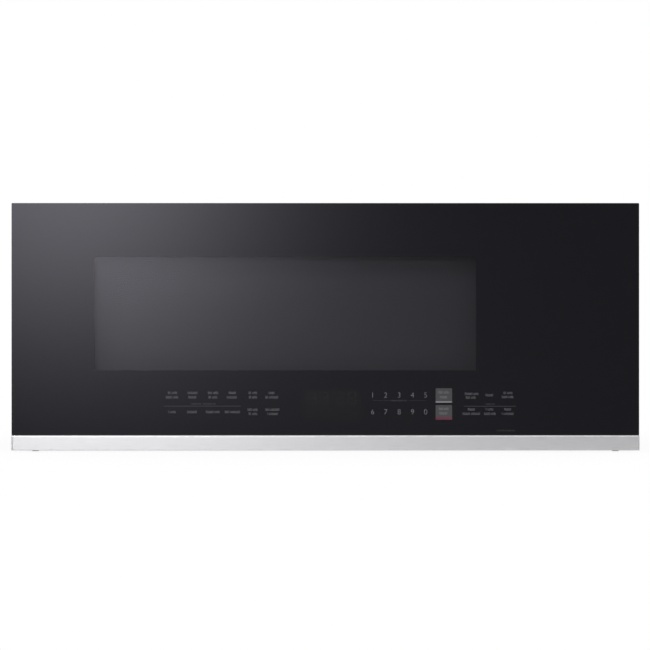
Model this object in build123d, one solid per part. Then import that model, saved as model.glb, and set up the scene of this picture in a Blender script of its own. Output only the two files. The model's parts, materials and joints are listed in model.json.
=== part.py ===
from build123d import *
import math
import os

# Over-the-range microwave, low-profile, 30-inch class.
# Frame: origin at the middle of the bounding box's underside, +X to the right seen from the
# front, +Y towards the wall, +Z up. All sizes are millimetres.

# ---------------------------------------------------------------- driving dimensions
# Envelope and case
TRIM_WIDTH = 759.0          # the widest piece: 29 7/8 in
GLASS_SIDE_INSET = 0.5      # glass inside the trim, each side
FRAME_SIDE_INSET = 1.0      # door frame inside the glass
CASE_SIDE_INSET = 2.5       # case inside the glass
OVERALL_DEPTH = 480.0       # trim front to wall
CASE_HEIGHT = 298.5         # 11 3/4 in
CASE_SHEET = 1.0
FOOT_HEIGHT = 4.0
FOOT_RADIUS = 4.4
FOOT_SIDE_INSET = 21.5
FOOT_SETBACK = 8.0
RETURN_FLANGE = 14.0        # inward flange along a side panel's rear edge
FIT = 0.3                   # clearance around a piece that drops into a hole
SHEET_FIT = 0.05            # clearance between a screw and its hole
OVERRUN = 1.0               # how far a cutting shape runs past the surface it cuts

# Door
DOOR_DEPTH = 40.0           # trim front to door back
DOOR_GAP = 2.0              # door back to case front
TRIM_HEIGHT = 18.4
TRIM_DROP = 1.3             # trim below the case's underside
TRIM_PROUD = 1.2            # trim in front of the glass
TRIM_WALL = 3.0
TRIM_WEB = 2.5
TRIM_CHAMFER = 1.1
TRIM_DEPTH = 34.0
TRIM_LIP_HEIGHT = 13.0
END_CAP = 1.5
DOOR_TOP_GAP = 1.0          # door's top below the case's top
GLASS_THICKNESS = 4.0
GLASS_CORNER = 1.2
FRAME_TOP_INSET = 0.8
FRAME_SKIN = 2.5
FRAME_WALL = 3.0
FRAME_EDGE_ROUND = 10.0     # rear edge beside the hinge, so it clears the case
REAR_COVER = 2.0
CHOKE_MARGIN = 22.0         # steel panel beyond the oven's mouth
CHOKE_PANEL_SHEET = 1.0
CHOKE_DEPTH = 10.0
PANEL_TO_BACK = 14.0        # steel panel's front face to door back
WINDOW_SIDE_MARGIN = 57.15  # window inside the oven's mouth
WINDOW_BASE_MARGIN = 29.6
WINDOW_TOP_MARGIN = 24.0
WINDOW_CLEAR = 5.6          # frame opening beyond the window on each side
SCREEN_LAP = 3.5
SCREEN_SHEET = 0.5
INNER_WINDOW_LAP = 14.0
INNER_WINDOW_SHEET = 1.5

# Controls behind the glass
CONTROL_START = 74.15       # control row's left end, from the window's
CONTROL_END = 56.45         # control row's right end, beyond the window's
CONTROL_LIFT = 14.9         # above the trim
CONTROL_HEIGHT = 48.0
CONTROL_LAP = 3.0
BOARD_THICKNESS = 1.6
TOUCH_FILM = 0.3
DISPLAY_WIDTH = 67.6
DISPLAY_HEIGHT = 35.0
DISPLAY_OFFSET_X = 56.8     # display's centre from the window's
DISPLAY_LIFT = 37.1         # display's centre above the trim
BOARD_CHIPS = 4
BOARD_CHIP_SIZE = (36.0, 8.0, 18.0)

# Door hinge: pins at the left end, top and bottom
PIVOT_INSET_X = 10.5        # from the glass's left edge
PIVOT_INSET_Y = 12.0        # from the door's back
PIN_RADIUS = 3.0
PIN_PROJECTION = 14.0
PIN_RUNNING_FIT = 0.05
BUSH_RADIUS = 6.0
BUSH_FLANGE_RADIUS = 7.6
BUSH_FLANGE = 1.0
TAB_THICKNESS = 2.5
TAB_HALF_WIDTH = 6.0
TAB_LOWER_LIFT = 3.2        # lower tab above the trim
TAB_UPPER_DROP = 8.2        # upper tab's top below the glass's top
TAB_POCKET_SIDE = 2.0
TAB_POCKET_FRONT = 4.0      # room for the tab's side when the door is fully open
BRACKET_SHEET = 2.0
BRACKET_WIDTH = 26.0
BRACKET_HEIGHT = 30.0
HINGE_SCREW_RADIUS = 1.95
HINGE_SCREW_HEAD = 3.5
HINGE_SCREW_HEAD_HEIGHT = 2.0
HINGE_SCREW_PITCH = 13.0

# Latch
LATCH_OFFSET_X = 31.8       # from the cavity's right wall
LATCH_THICKNESS = 3.0
LATCH_KEY_DEPTH = 12.0
LATCH_KEY_FRONT = 4.3       # key in front of the frame skin's back
LATCH_KEY_FOOT = 15.0       # below the lower hook
LATCH_KEY_HEAD = 32.0       # above the upper hook
LATCH_LIFT = 4.0
HOOK_BASE_MARGIN = 40.0     # lower hook above the cavity's floor
HOOK_TOP_MARGIN = 30.0      # upper hook below the cavity's ceiling
HOOK_SHANK_HEIGHT = 8.0
HOOK_BARB = 4.0
HOOK_REACH = 26.0           # hook tip behind the case front
HOOK_HEAD_DEPTH = 10.0
HOOK_SLOT_SIDE = 1.0        # room beside a hook in the rear cover
LEDGE_GAP = 0.4
LATCH_SLOT_WIDTH = 15.0
SPRING_RADIUS = 3.2
SPRING_WALL = 0.8
SPRING_LENGTH = 14.0
LATCH_BOARD_WIDTH = 22.0
LATCH_BOARD_DEPTH = 34.0
LATCH_BOARD_WALL = 3.0
LATCH_BOARD_MARGIN = 22.0
SWITCH_LENGTH = 27.8
SWITCH_DEPTH = 15.9
SWITCH_HEIGHT = 10.2
SWITCH_PITCH = 10.4
PLUNGER_RADIUS = 1.5
PLUNGER_DEPTH = 6.0
PLUNGER_TRAVEL = 1.2

# Oven cavity
DUCT_GAP = 38.2             # left of the cavity
MACHINE_BAY = 135.8         # right of the cavity
BLOWER_BAY = 92.0           # behind the cavity
PLENUM = 40.5               # above the cavity
CAVITY_LIFT = 66.0          # cavity floor above the case's underside
CAVITY_SHEET = 1.0
VENT_HOLE_RADIUS = 1.6
VENT_HOLE_PITCH = 7.0
VENT_COLUMNS = 6
VENT_ROWS = 5
LAMP_HOLE_COUNT = 4

# Turntable
TRAY_WALL_GAP = 10.0
TRAY_THICKNESS = 4.0
TRAY_RIM_HEIGHT = 12.0
TRAY_RIM_WALL = 3.0
TRAY_RIM_SLOPE = 7.5
ROLLER_RADIUS = 8.2
ROLLER_WIDTH = 9.0
ROLLER_COUNT = 3
RING_INSET = 57.5           # ring inside the tray's edge
RING_WIDTH = 6.0
RING_HEIGHT = 4.0
AXLE_RADIUS = 2.0
AXLE_CAP_RADIUS = 3.2
AXLE_CAP = 1.6
ROLLER_SIDE_GAP = 0.4
COUPLER_HUB_RADIUS = 6.5
COUPLER_LOBE_LENGTH = 18.0
COUPLER_LOBE_WIDTH = 6.0
COUPLER_LOBE_HEIGHT = 7.0
COUPLER_HOLE_GAP = 1.5
TRAY_LUG_RADIUS = 3.0
TRAY_LUG_CIRCLE = 13.0
TRAY_LUG_HEIGHT = 6.5
TURNTABLE_SHAFT_RADIUS = 3.0
TURNTABLE_SHAFT_DEPTH = 12.0
TURNTABLE_MOTOR_RADIUS = 25.0
TURNTABLE_MOTOR_HEIGHT = 18.0
MOTOR_EAR_SPREAD = 62.0
MOTOR_EAR_WIDTH = 12.0
MOTOR_EAR_THICKNESS = 2.0
MOTOR_SCREW_RADIUS = 1.5
MOTOR_SCREW_HEAD = 3.0

# Microwave source in the right-hand compartment
WAVEGUIDE_SIZE = (36.0, 80.0)
SOURCE_SETBACK = 167.0      # source's centre behind the case's front
WAVEGUIDE_LIFT = 80.0       # above the cavity's floor
WAVEGUIDE_DROP = 10.0       # below the cavity's ceiling
WAVEGUIDE_WALL = 1.0
APERTURE = (60.0, 30.0)
MICA_LAP = 10.0
MICA_SHEET = 0.5
ANTENNA_RADIUS = 7.5
ANTENNA_LENGTH = 18.0
ANTENNA_HOLE_RADIUS = 10.0
YOKE_SIZE = (58.0, 80.0, 84.0)
YOKE_WALL = 1.5
YOKE_DROP = 25.0            # centre below the waveguide's top
TUBE_RADIUS = 20.0
FIN_COUNT = 6
FIN_THICKNESS = 0.8
FILTER_BOX_SIZE = (30.0, 60.0, 50.0)
CORE_SIZE = (96.0, 60.0, 80.0)
CORE_SIDE_GAP = 22.3        # from the cavity's right wall
CORE_SETBACK = 87.0
CORE_LIMB = 32.0
CORE_WINDOW = (16.0, 48.0)
COIL_GAP = 0.4
CAPACITOR_SIZE = (54.0, 34.0, 95.0)
CAPACITOR_PLACE = (65.3, 217.0)
CLAMP_SHEET = 1.2
CLAMP_HEIGHT = 15.0
CLAMP_FOOT = 16.0
TERMINAL_RADIUS = 3.0
TERMINAL_HEIGHT = 9.0
DIODE_RADIUS = 3.0
DIODE_LENGTH = 22.0

# Cooling fan
SHROUD_AHEAD = 39.0         # in front of the cavity's back
SHROUD_SHEET = 2.0
SHROUD_HEIGHT = 140.0
FAN_DROP = 86.5             # centre below the top panel
FAN_ORIFICE_RADIUS = 54.0
FAN_COLLAR = 18.0
FAN_COLLAR_WALL = 2.0
FAN_TIP_GAP = 1.5
FAN_HUB_RADIUS = 13.0
FAN_HUB_DEPTH = 14.0
FAN_BLADES = 5
FAN_BLADE_CHORD = 24.0
FAN_BLADE_PITCH = 30.0
FAN_BLADE_THICKNESS = 1.5
FAN_SHAFT_RADIUS = 2.5
FAN_POST_RADIUS = 3.0
FAN_POST_SPREAD = 120.0
FAN_MOTOR_SETBACK = 30.0
FAN_STRAP = 2.0
FAN_STRAP_HEIGHT = 14.0
FAN_STACK_SIZE = (56.0, 28.0, 50.0)
FAN_RUNNING_FIT = 0.05

# Blower behind the oven
BLOWER_CENTRE_X = 0.0
BLOWER_AXIS_DROP = 79.5
BLOWER_MOTOR_LENGTH = 70.0
BLOWER_MOTOR_RADIUS = 33.0
BLOWER_FOOT = (60.0, 24.0)
SCROLL_LENGTH = 80.0
SCROLL_GAP = 2.0
SCROLL_WALL = 1.5
SCROLL_INLET_RADIUS = 27.0
SCROLL_TOP_GAP = 2.5
WHEEL_RADIUS = 36.0
WHEEL_RING_WIDTH = 8.0
WHEEL_END_GAP = 4.0
WHEEL_PLATE = 2.0
WHEEL_BLADES = 20
WHEEL_BLADE_THICKNESS = 1.0
BLOWER_SHAFT_RADIUS = 4.0

# Air path, filters and lamps
GREASE_FILTER_WIDTH = 240.0
GREASE_FILTER_DEPTH = 150.0
GREASE_FILTER_HEIGHT = 8.0
GREASE_FILTER_SPACE = 20.0  # between the two filters
GREASE_FILTER_AHEAD = 4.0   # rear edge in front of the cavity's back
GREASE_FILTER_GAP = 2.0
GREASE_FILTER_RIM = 9.0
GREASE_MESH = 1.6           # the layers of expanded mesh, pressed together
GREASE_TAB = (18.0, 7.0, 1.5)
GREASE_TAB_SPREAD = 150.0
GREASE_PULL = (34.0, 9.0, 1.8)
GRILLE_WIDTH = 520.0
GRILLE_DEPTH = 55.0
GRILLE_SETBACK = 12.0
GRILLE_FLANGE = 6.0
GRILLE_FLANGE_HEIGHT = 2.0
GRILLE_SLOT = (5.0, 45.0)
GRILLE_SLOT_PITCH = 10.0
CHARCOAL_HEIGHT = 12.0
EXHAUST_OPENING = (254.0, 82.6)    # 10 in by 3 1/4 in duct
EXHAUST_LAP = 4.0
COVER_SHEET = 1.0
COOKTOP_LAMP_SPREAD = 460.0
COOKTOP_LAMP_SETBACK = 37.0
COOKTOP_LENS = (90.0, 45.0)
LENS_LAP = 2.0
LENS_THICKNESS = 1.5
LAMP_HOUSING_WALL = 1.5
LAMP_HOUSING_HEIGHT = 24.0
LAMP_BOARD = (70.0, 26.0, 2.0)
CAVITY_LAMP_SIZE = (40.0, 40.0, 30.0)
CAVITY_LAMP_INSET = (58.7, 78.0)
STEAM_DUCT_DEPTH = 60.0
STEAM_DUCT_WALL = 1.5
STEAM_DUCT_SIDE_GAP = 3.0
STEAM_DUCT_LIFT = 70.0      # above the cavity's floor

# Electronics
MAIN_BOARD_SIZE = (100.0, 130.0)
MAIN_BOARD_FRONT = 12.0
MAIN_BOARD_LIFT = 40.0      # above the cavity's floor
STANDOFF = 8.0
STANDOFF_RADIUS = 3.0
RELAY_COUNT = 3
RELAY_SIZE = (16.0, 20.0, 22.0)
RELAY_INSET = 33.0          # relays' centre behind the board's front edge
SUPPLY_SIZE = (24.0, 33.0, 32.0)
SUPPLY_INSET = 25.0         # small transformer's centre ahead of the board's rear edge
LINE_BOARD_SIZE = (88.0, 70.0)
CHOKE_COIL_RADIUS = 16.0
CHOKE_COIL_DEPTH = 16.0
LINE_BOARD_SIDE_GAP = 28.3
LINE_BOARD_DROP = 41.5
CUTOUT_RADIUS = 8.0
CUTOUT_HEIGHT = 8.0
CUTOUT_INSET = 136.3

# Mounting
WALL_PLATE_DEPTH = 8.0
WALL_PLATE_SHEET = 1.5
WALL_PLATE_SIDE_INSET = 6.5
WALL_PLATE_BASE_INSET = 11.0
WALL_PLATE_TOP_INSET = 17.5
WALL_PLATE_RIM = (70.0, 50.0)
STUD_SPACING = 406.4        # 16 in
WALL_HOLE_MARGIN = 24.0
WALL_HOLE_RADIUS = 3.5
HANG_HOOK_SPREAD = 500.0
HANG_HOOK_WIDTH = 24.0
HANG_HOOK_REACH = 6.0
HANG_HOOK_RISE = 10.0
TOP_BOLT_SIDE_INSET = 66.5
TOP_BOLT_SETBACK = 217.0
TOP_NUT = (14.0, 14.0, 6.0)
TOP_NUT_THREAD_RADIUS = 2.55
TOP_BOLT_CLEARANCE = 3.4
CORD_INSET = (45.5, 41.0)
CORD_HOLE_RADIUS = 11.0
CORD_BORE_RADIUS = 5.0
CORD_FLANGE = 3.0
CORD_FLANGE_HEIGHT = 2.0
CASE_SCREW_RADIUS = 1.9
CASE_SCREW_HEAD = 3.8
CASE_SCREW_HEAD_HEIGHT = 2.2
CASE_SCREWS_PER_SIDE = 4
CASE_SCREW_EDGE = 30.0

# ---------------------------------------------------------------- planes worked out from them
GLASS_WIDTH = TRIM_WIDTH - 2 * GLASS_SIDE_INSET
DOOR_FRONT = -OVERALL_DEPTH / 2
GLASS_FRONT = DOOR_FRONT + TRIM_PROUD
GLASS_BACK = GLASS_FRONT + GLASS_THICKNESS
SKIN_BACK = GLASS_BACK + FRAME_SKIN
DOOR_BACK = DOOR_FRONT + DOOR_DEPTH
COVER_FRONT = DOOR_BACK - REAR_COVER
CASE_FRONT = DOOR_BACK + DOOR_GAP
CASE_BACK = OVERALL_DEPTH / 2 - WALL_PLATE_DEPTH
CASE_BOTTOM = FOOT_HEIGHT
CASE_TOP = CASE_BOTTOM + CASE_HEIGHT
TRIM_BOTTOM = CASE_BOTTOM - TRIM_DROP
TRIM_TOP = TRIM_BOTTOM + TRIM_HEIGHT
GLASS_TOP = CASE_TOP - DOOR_TOP_GAP
FRAME_TOP = GLASS_TOP - FRAME_TOP_INSET


def about(centre, width):
    """The (low, high) span of a given width about a centre."""
    return (centre - width / 2, centre + width / 2)


def grow(span, amount):
    """A span made longer by an amount at each end, or shorter by a negative one."""
    return (span[0] - amount, span[1] + amount)


GLASS_X = about(0, GLASS_WIDTH)
CASE_X = grow(GLASS_X, -CASE_SIDE_INSET)
FRAME_X = grow(GLASS_X, -FRAME_SIDE_INSET)
INSIDE_X = grow(CASE_X, -CASE_SHEET)
INSIDE_Y = (CASE_FRONT + CASE_SHEET, CASE_BACK - CASE_SHEET)
INSIDE_Z = (CASE_BOTTOM + CASE_SHEET, CASE_TOP - CASE_SHEET)

CAVITY_SHELL_X = (INSIDE_X[0] + DUCT_GAP, INSIDE_X[1] - MACHINE_BAY)
CAVITY_SHELL_BACK = INSIDE_Y[1] - BLOWER_BAY
CAVITY_X = grow(CAVITY_SHELL_X, -CAVITY_SHEET)
CAVITY_Y = (INSIDE_Y[0], CAVITY_SHELL_BACK - CAVITY_SHEET)
CAVITY_Z = (CASE_BOTTOM + CAVITY_LIFT, INSIDE_Z[1] - PLENUM - CAVITY_SHEET)

WINDOW_X = grow(CAVITY_X, -WINDOW_SIDE_MARGIN)
WINDOW_Z = (CAVITY_Z[0] + WINDOW_BASE_MARGIN, CAVITY_Z[1] - WINDOW_TOP_MARGIN)
WINDOW_CENTRE_X = sum(WINDOW_X) / 2
OPENING_X = grow(WINDOW_X, WINDOW_CLEAR)
OPENING_Z = grow(WINDOW_Z, WINDOW_CLEAR)

CONTROL_X = (WINDOW_X[0] + CONTROL_START, WINDOW_X[1] + CONTROL_END)
CONTROL_Z = (TRIM_TOP + CONTROL_LIFT, TRIM_TOP + CONTROL_LIFT + CONTROL_HEIGHT)
DISPLAY_X = about(WINDOW_CENTRE_X + DISPLAY_OFFSET_X, DISPLAY_WIDTH)
DISPLAY_Z = about(TRIM_TOP + DISPLAY_LIFT, DISPLAY_HEIGHT)

PANEL_X = grow(CAVITY_X, CHOKE_MARGIN)
PANEL_Z = grow(CAVITY_Z, CHOKE_MARGIN)
PANEL_FRONT = DOOR_BACK - PANEL_TO_BACK
PANEL_BACK = PANEL_FRONT + CHOKE_PANEL_SHEET

PIVOT = (-GLASS_WIDTH / 2 + PIVOT_INSET_X, DOOR_BACK - PIVOT_INSET_Y)
LOWER_TAB_Z = (TRIM_TOP + TAB_LOWER_LIFT, TRIM_TOP + TAB_LOWER_LIFT + TAB_THICKNESS)
UPPER_TAB_Z = (GLASS_TOP - TAB_UPPER_DROP - TAB_THICKNESS, GLASS_TOP - TAB_UPPER_DROP)
LOWER_POCKET_TOP = LOWER_TAB_Z[1] + FIT + BUSH_FLANGE
UPPER_POCKET_BASE = UPPER_TAB_Z[0] - FIT - BUSH_FLANGE
LOWER_PIN_Z = (LOWER_TAB_Z[0], LOWER_TAB_Z[1] + PIN_PROJECTION)
UPPER_PIN_Z = (UPPER_TAB_Z[0] - PIN_PROJECTION, UPPER_TAB_Z[1])
BRACKET_X = (PIVOT[0] - TAB_HALF_WIDTH, PIVOT[0] - TAB_HALF_WIDTH + BRACKET_WIDTH)
BRACKET_Y = (INSIDE_Y[0], INSIDE_Y[0] + BRACKET_SHEET)
LOWER_BRACKET_Z = (LOWER_TAB_Z[0], LOWER_TAB_Z[0] + BRACKET_HEIGHT)
UPPER_BRACKET_Z = (UPPER_TAB_Z[1] - BRACKET_HEIGHT, UPPER_TAB_Z[1])
HINGE_SCREW_X = BRACKET_X[1] - 2 * HINGE_SCREW_HEAD
HINGE_SCREW_Z = [
    sum(span) / 2 + side * HINGE_SCREW_PITCH / 2
    for span in (LOWER_BRACKET_Z, UPPER_BRACKET_Z)
    for side in (-1, 1)
]

LATCH_X = CAVITY_SHELL_X[1] + LATCH_OFFSET_X
HOOK_Z = (CAVITY_Z[0] + HOOK_BASE_MARGIN, CAVITY_Z[1] - HOOK_TOP_MARGIN)    # shanks' undersides
LATCH_KEY_Z = (HOOK_Z[0] - LATCH_KEY_FOOT, HOOK_Z[1] + LATCH_KEY_HEAD)
HOOK_TIP_Y = CASE_FRONT + HOOK_REACH
LATCH_KEY_X = about(LATCH_X, LATCH_THICKNESS)
LATCH_KEY_Y = (SKIN_BACK + LATCH_KEY_FRONT, SKIN_BACK + LATCH_KEY_FRONT + LATCH_KEY_DEPTH)
LATCH_SLOT_X = about(LATCH_X, LATCH_SLOT_WIDTH)
LATCH_BOARD_X = about(LATCH_X, LATCH_BOARD_WIDTH)
LATCH_BOARD_Y = (INSIDE_Y[0], INSIDE_Y[0] + LATCH_BOARD_DEPTH)
HOOK_TALL = HOOK_SHANK_HEIGHT + 2 * HOOK_BARB
SWITCH_Z = [
    HOOK_Z[0] + HOOK_SHANK_HEIGHT / 2 - SWITCH_PITCH / 2,
    HOOK_Z[0] + HOOK_SHANK_HEIGHT / 2 + SWITCH_PITCH / 2,
    HOOK_Z[1] + HOOK_SHANK_HEIGHT / 2,
]

TURNTABLE = (WINDOW_CENTRE_X, (CAVITY_Y[0] + CAVITY_Y[1]) / 2)
TRAY_RADIUS = (CAVITY_Y[1] - CAVITY_Y[0]) / 2 - TRAY_WALL_GAP
RING_RADIUS = TRAY_RADIUS - RING_INSET
ROLLER_Z = CAVITY_Z[0] + FIT + ROLLER_RADIUS
TRAY_Z = ROLLER_Z + ROLLER_RADIUS + FIT
FLOOR_UNDER = CAVITY_Z[0] - CAVITY_SHEET
MOTOR_Z = (FLOOR_UNDER - TURNTABLE_MOTOR_HEIGHT, FLOOR_UNDER)

BAY_X = (CAVITY_SHELL_X[1], INSIDE_X[1])
BAY_CENTRE_X = sum(BAY_X) / 2
WAVEGUIDE_CENTRE_Y = INSIDE_Y[0] + SOURCE_SETBACK
WAVEGUIDE_X = (BAY_X[0], BAY_X[0] + WAVEGUIDE_SIZE[0])
WAVEGUIDE_Y = about(WAVEGUIDE_CENTRE_Y, WAVEGUIDE_SIZE[1])
WAVEGUIDE_Z = (CAVITY_Z[0] + WAVEGUIDE_LIFT, CAVITY_Z[1] - WAVEGUIDE_DROP)
APERTURE_Y = about(WAVEGUIDE_CENTRE_Y, APERTURE[0])
APERTURE_Z = (WAVEGUIDE_Z[0] + WAVEGUIDE_WALL, WAVEGUIDE_Z[0] + WAVEGUIDE_WALL + APERTURE[1])
YOKE_CENTRE_Z = WAVEGUIDE_Z[1] - YOKE_DROP
YOKE_X = (WAVEGUIDE_X[1], WAVEGUIDE_X[1] + YOKE_SIZE[0])
YOKE_Y = about(WAVEGUIDE_CENTRE_Y, YOKE_SIZE[1])
YOKE_Z = about(YOKE_CENTRE_Z, YOKE_SIZE[2])

SHROUD_PLATE_Y = (CAVITY_SHELL_BACK - SHROUD_AHEAD, CAVITY_SHELL_BACK - SHROUD_AHEAD + SHROUD_SHEET)
FAN_CENTRE_Z = INSIDE_Z[1] - FAN_DROP
COLLAR_Y = (SHROUD_PLATE_Y[1], SHROUD_PLATE_Y[1] + FAN_COLLAR)
FAN_STRAP_Y = (SHROUD_PLATE_Y[0] + FAN_MOTOR_SETBACK, SHROUD_PLATE_Y[0] + FAN_MOTOR_SETBACK + FAN_STRAP)
FAN_STACK_Y = (FAN_STRAP_Y[1], FAN_STRAP_Y[1] + FAN_STACK_SIZE[1])

BLOWER_GAP_Y = (CAVITY_SHELL_BACK, INSIDE_Y[1])
BLOWER_AXIS = (sum(BLOWER_GAP_Y) / 2, INSIDE_Z[1] - BLOWER_AXIS_DROP)
SCROLL_RADIUS = (BLOWER_GAP_Y[1] - BLOWER_GAP_Y[0]) / 2

GRILLE_X = about(0, GRILLE_WIDTH)
GRILLE_Y = (INSIDE_Y[0] + GRILLE_SETBACK, INSIDE_Y[0] + GRILLE_SETBACK + GRILLE_DEPTH)
EXHAUST_X = about(0, EXHAUST_OPENING[0])
EXHAUST_Y = about(BLOWER_AXIS[0], EXHAUST_OPENING[1])
FILTER_REAR_Y = CAVITY_SHELL_BACK - GREASE_FILTER_AHEAD
FILTER_Y = (FILTER_REAR_Y - GREASE_FILTER_DEPTH, FILTER_REAR_Y)
FILTER_Z = (CASE_BOTTOM + FIT, CASE_BOTTOM + FIT + GREASE_FILTER_HEIGHT)
FILTER_PIVOT = (FILTER_Y[1] - GREASE_FILTER_HEIGHT / 2, sum(FILTER_Z) / 2)
FILTER_SPREAD = GREASE_FILTER_WIDTH + GREASE_FILTER_SPACE
FILTER_CENTRES = {"left": -FILTER_SPREAD / 2, "right": FILTER_SPREAD / 2}
LAMP_CENTRES = (-COOKTOP_LAMP_SPREAD / 2, COOKTOP_LAMP_SPREAD / 2)
COOKTOP_LAMP_Y = INSIDE_Y[0] + COOKTOP_LAMP_SETBACK
LENS_Y = about(COOKTOP_LAMP_Y, COOKTOP_LENS[1])

CAVITY_LAMP_PLACE = (CAVITY_X[1] - CAVITY_LAMP_INSET[0], CAVITY_Y[1] - CAVITY_LAMP_INSET[1])
CUTOUT_PLACE = (CAVITY_X[0] + CUTOUT_INSET, CAVITY_LAMP_PLACE[1])

TOP_BOLT_X = grow(CASE_X, -TOP_BOLT_SIDE_INSET)
TOP_BOLT_Y = INSIDE_Y[0] + TOP_BOLT_SETBACK
CORD_PLACE = (INSIDE_X[1] - CORD_INSET[0], INSIDE_Y[1] - CORD_INSET[1])
WALL_PLATE_X = grow(CASE_X, -WALL_PLATE_SIDE_INSET)
WALL_PLATE_Z = (CASE_BOTTOM + WALL_PLATE_BASE_INSET, CASE_TOP - WALL_PLATE_TOP_INSET)
PLATE_Y = (OVERALL_DEPTH / 2 - WALL_PLATE_SHEET, OVERALL_DEPTH / 2)
HANG_HOOK_Z = (WALL_PLATE_Z[0] + WALL_PLATE_SHEET, WALL_PLATE_Z[0] + WALL_PLATE_SHEET + HANG_HOOK_RISE)
CASE_SCREW_Z = [
    INSIDE_Z[0] + CASE_SCREW_EDGE
    + i * (INSIDE_Z[1] - INSIDE_Z[0] - 2 * CASE_SCREW_EDGE) / (CASE_SCREWS_PER_SIDE - 1)
    for i in range(CASE_SCREWS_PER_SIDE)
]
CASE_SCREW_X = INSIDE_X[1] - RETURN_FLANGE / 2


# ---------------------------------------------------------------- shapes used all over
def block(x, y, z):
    """A box between the (low, high) limits along each axis."""
    spans = (x, y, z)
    centre = [sum(span) / 2 for span in spans]
    return Pos(*centre) * Box(*[span[1] - span[0] for span in spans])


def post(x, y, z, radius):
    """A vertical cylinder over the span z."""
    return Pos(x, y, sum(z) / 2) * Cylinder(radius, z[1] - z[0])


def bar_x(x, y, z, radius):
    """A cylinder along X over the span x."""
    return Pos(sum(x) / 2, y, z) * Rot(0, 90, 0) * Cylinder(radius, x[1] - x[0])


def bar_y(x, y, z, radius):
    """A cylinder along Y over the span y."""
    return Pos(x, sum(y) / 2, z) * Rot(90, 0, 0) * Cylinder(radius, y[1] - y[0])


def wall_ring(x, y, z, wall):
    """A rectangular ring seen from the front: a wall inside the outline x by z."""
    return block(x, y, z) - block(grow(x, -wall), grow(y, wall), grow(z, -wall))


def group(shapes):
    """Separate solids kept together under one name."""
    return Compound([solid for shape in shapes for solid in shape.solids()])


PARTS = {}


# ---------------------------------------------------------------- case
def hinge_screw_holes(y, radius):
    return [bar_y(HINGE_SCREW_X, y, z, radius) for z in HINGE_SCREW_Z]


def make_front_plate():
    y = (CASE_FRONT, INSIDE_Y[0])
    through = grow(y, CASE_SHEET)
    cuts = [block(CAVITY_X, through, CAVITY_Z)]
    for tab in (LOWER_TAB_Z, UPPER_TAB_Z):
        cuts.append(block(grow(about(PIVOT[0], 2 * TAB_HALF_WIDTH), FIT), through, grow(tab, FIT)))
    for hook in HOOK_Z:
        slot = (hook - HOOK_BARB - FIT, hook - HOOK_BARB + HOOK_TALL + LATCH_LIFT + FIT)
        cuts.append(block(LATCH_SLOT_X, through, slot))
    cuts += hinge_screw_holes(through, HINGE_SCREW_RADIUS + SHEET_FIT)
    PARTS["front_plate"] = block(CASE_X, y, (CASE_BOTTOM, CASE_TOP)) - cuts


def make_top_panel():
    z = (INSIDE_Z[1], CASE_TOP)
    through = grow(z, CASE_SHEET)
    cuts = [
        block(grow(GRILLE_X, FIT), grow(GRILLE_Y, FIT), through),
        block(EXHAUST_X, EXHAUST_Y, through),
        post(*CORD_PLACE, through, CORD_HOLE_RADIUS + FIT),
    ]
    for x in TOP_BOLT_X:
        cuts.append(post(x, TOP_BOLT_Y, through, TOP_BOLT_CLEARANCE))
    PARTS["top_panel"] = block(CASE_X, (INSIDE_Y[0], CASE_BACK), z) - cuts


def make_side_panels():
    z = (CASE_BOTTOM, INSIDE_Z[1])
    panels = []
    for side in (-1, 1):
        outer = sorted((side * CASE_X[1], side * INSIDE_X[1]))
        flange = sorted((side * INSIDE_X[1], side * (INSIDE_X[1] - RETURN_FLANGE)))
        flange_y = (INSIDE_Y[1] - CASE_SHEET, INSIDE_Y[1])
        panel = block(outer, (INSIDE_Y[0], CASE_BACK), z) + block(flange, flange_y, INSIDE_Z)
        holes = [
            bar_y(side * CASE_SCREW_X, grow(flange_y, CASE_SHEET), hole, CASE_SCREW_RADIUS + SHEET_FIT)
            for hole in CASE_SCREW_Z
        ]
        panels.append(panel - holes)
    PARTS["side_panels"] = group(panels)


def make_base_plate():
    z = (CASE_BOTTOM, INSIDE_Z[0])
    through = grow(z, CASE_SHEET)
    cuts = []
    for centre in FILTER_CENTRES.values():
        opening = grow(about(centre, GREASE_FILTER_WIDTH), GREASE_FILTER_GAP)
        cuts.append(block(opening, (FILTER_Y[0] - GREASE_FILTER_GAP, FILTER_Y[1] + FIT), through))
    for centre in LAMP_CENTRES:
        cuts.append(block(grow(about(centre, COOKTOP_LENS[0]), FIT), grow(LENS_Y, FIT), through))
    PARTS["base_plate"] = block(INSIDE_X, (INSIDE_Y[0], CASE_BACK), z) - cuts


def make_rear_panel():
    y = (INSIDE_Y[1], CASE_BACK)
    through = grow(y, CASE_SHEET)
    cuts = []
    for centre in about(0, HANG_HOOK_SPREAD):
        slot_x = grow(about(centre, HANG_HOOK_WIDTH), FIT)
        cuts.append(block(slot_x, through, grow(HANG_HOOK_Z, WALL_PLATE_SHEET)))
    for side in (-1, 1):
        for z in CASE_SCREW_Z:
            cuts.append(bar_y(side * CASE_SCREW_X, through, z, CASE_SCREW_RADIUS + SHEET_FIT))
    PARTS["rear_panel"] = block(INSIDE_X, y, INSIDE_Z) - cuts


def case_screws():
    shank = (INSIDE_Y[1] - CASE_SHEET, CASE_BACK)
    head = (CASE_BACK, CASE_BACK + CASE_SCREW_HEAD_HEIGHT)
    screws = []
    for side in (-1, 1):
        for z in CASE_SCREW_Z:
            x = side * CASE_SCREW_X
            screws.append(bar_y(x, shank, z, CASE_SCREW_RADIUS) + bar_y(x, head, z, CASE_SCREW_HEAD))
    return screws


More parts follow.
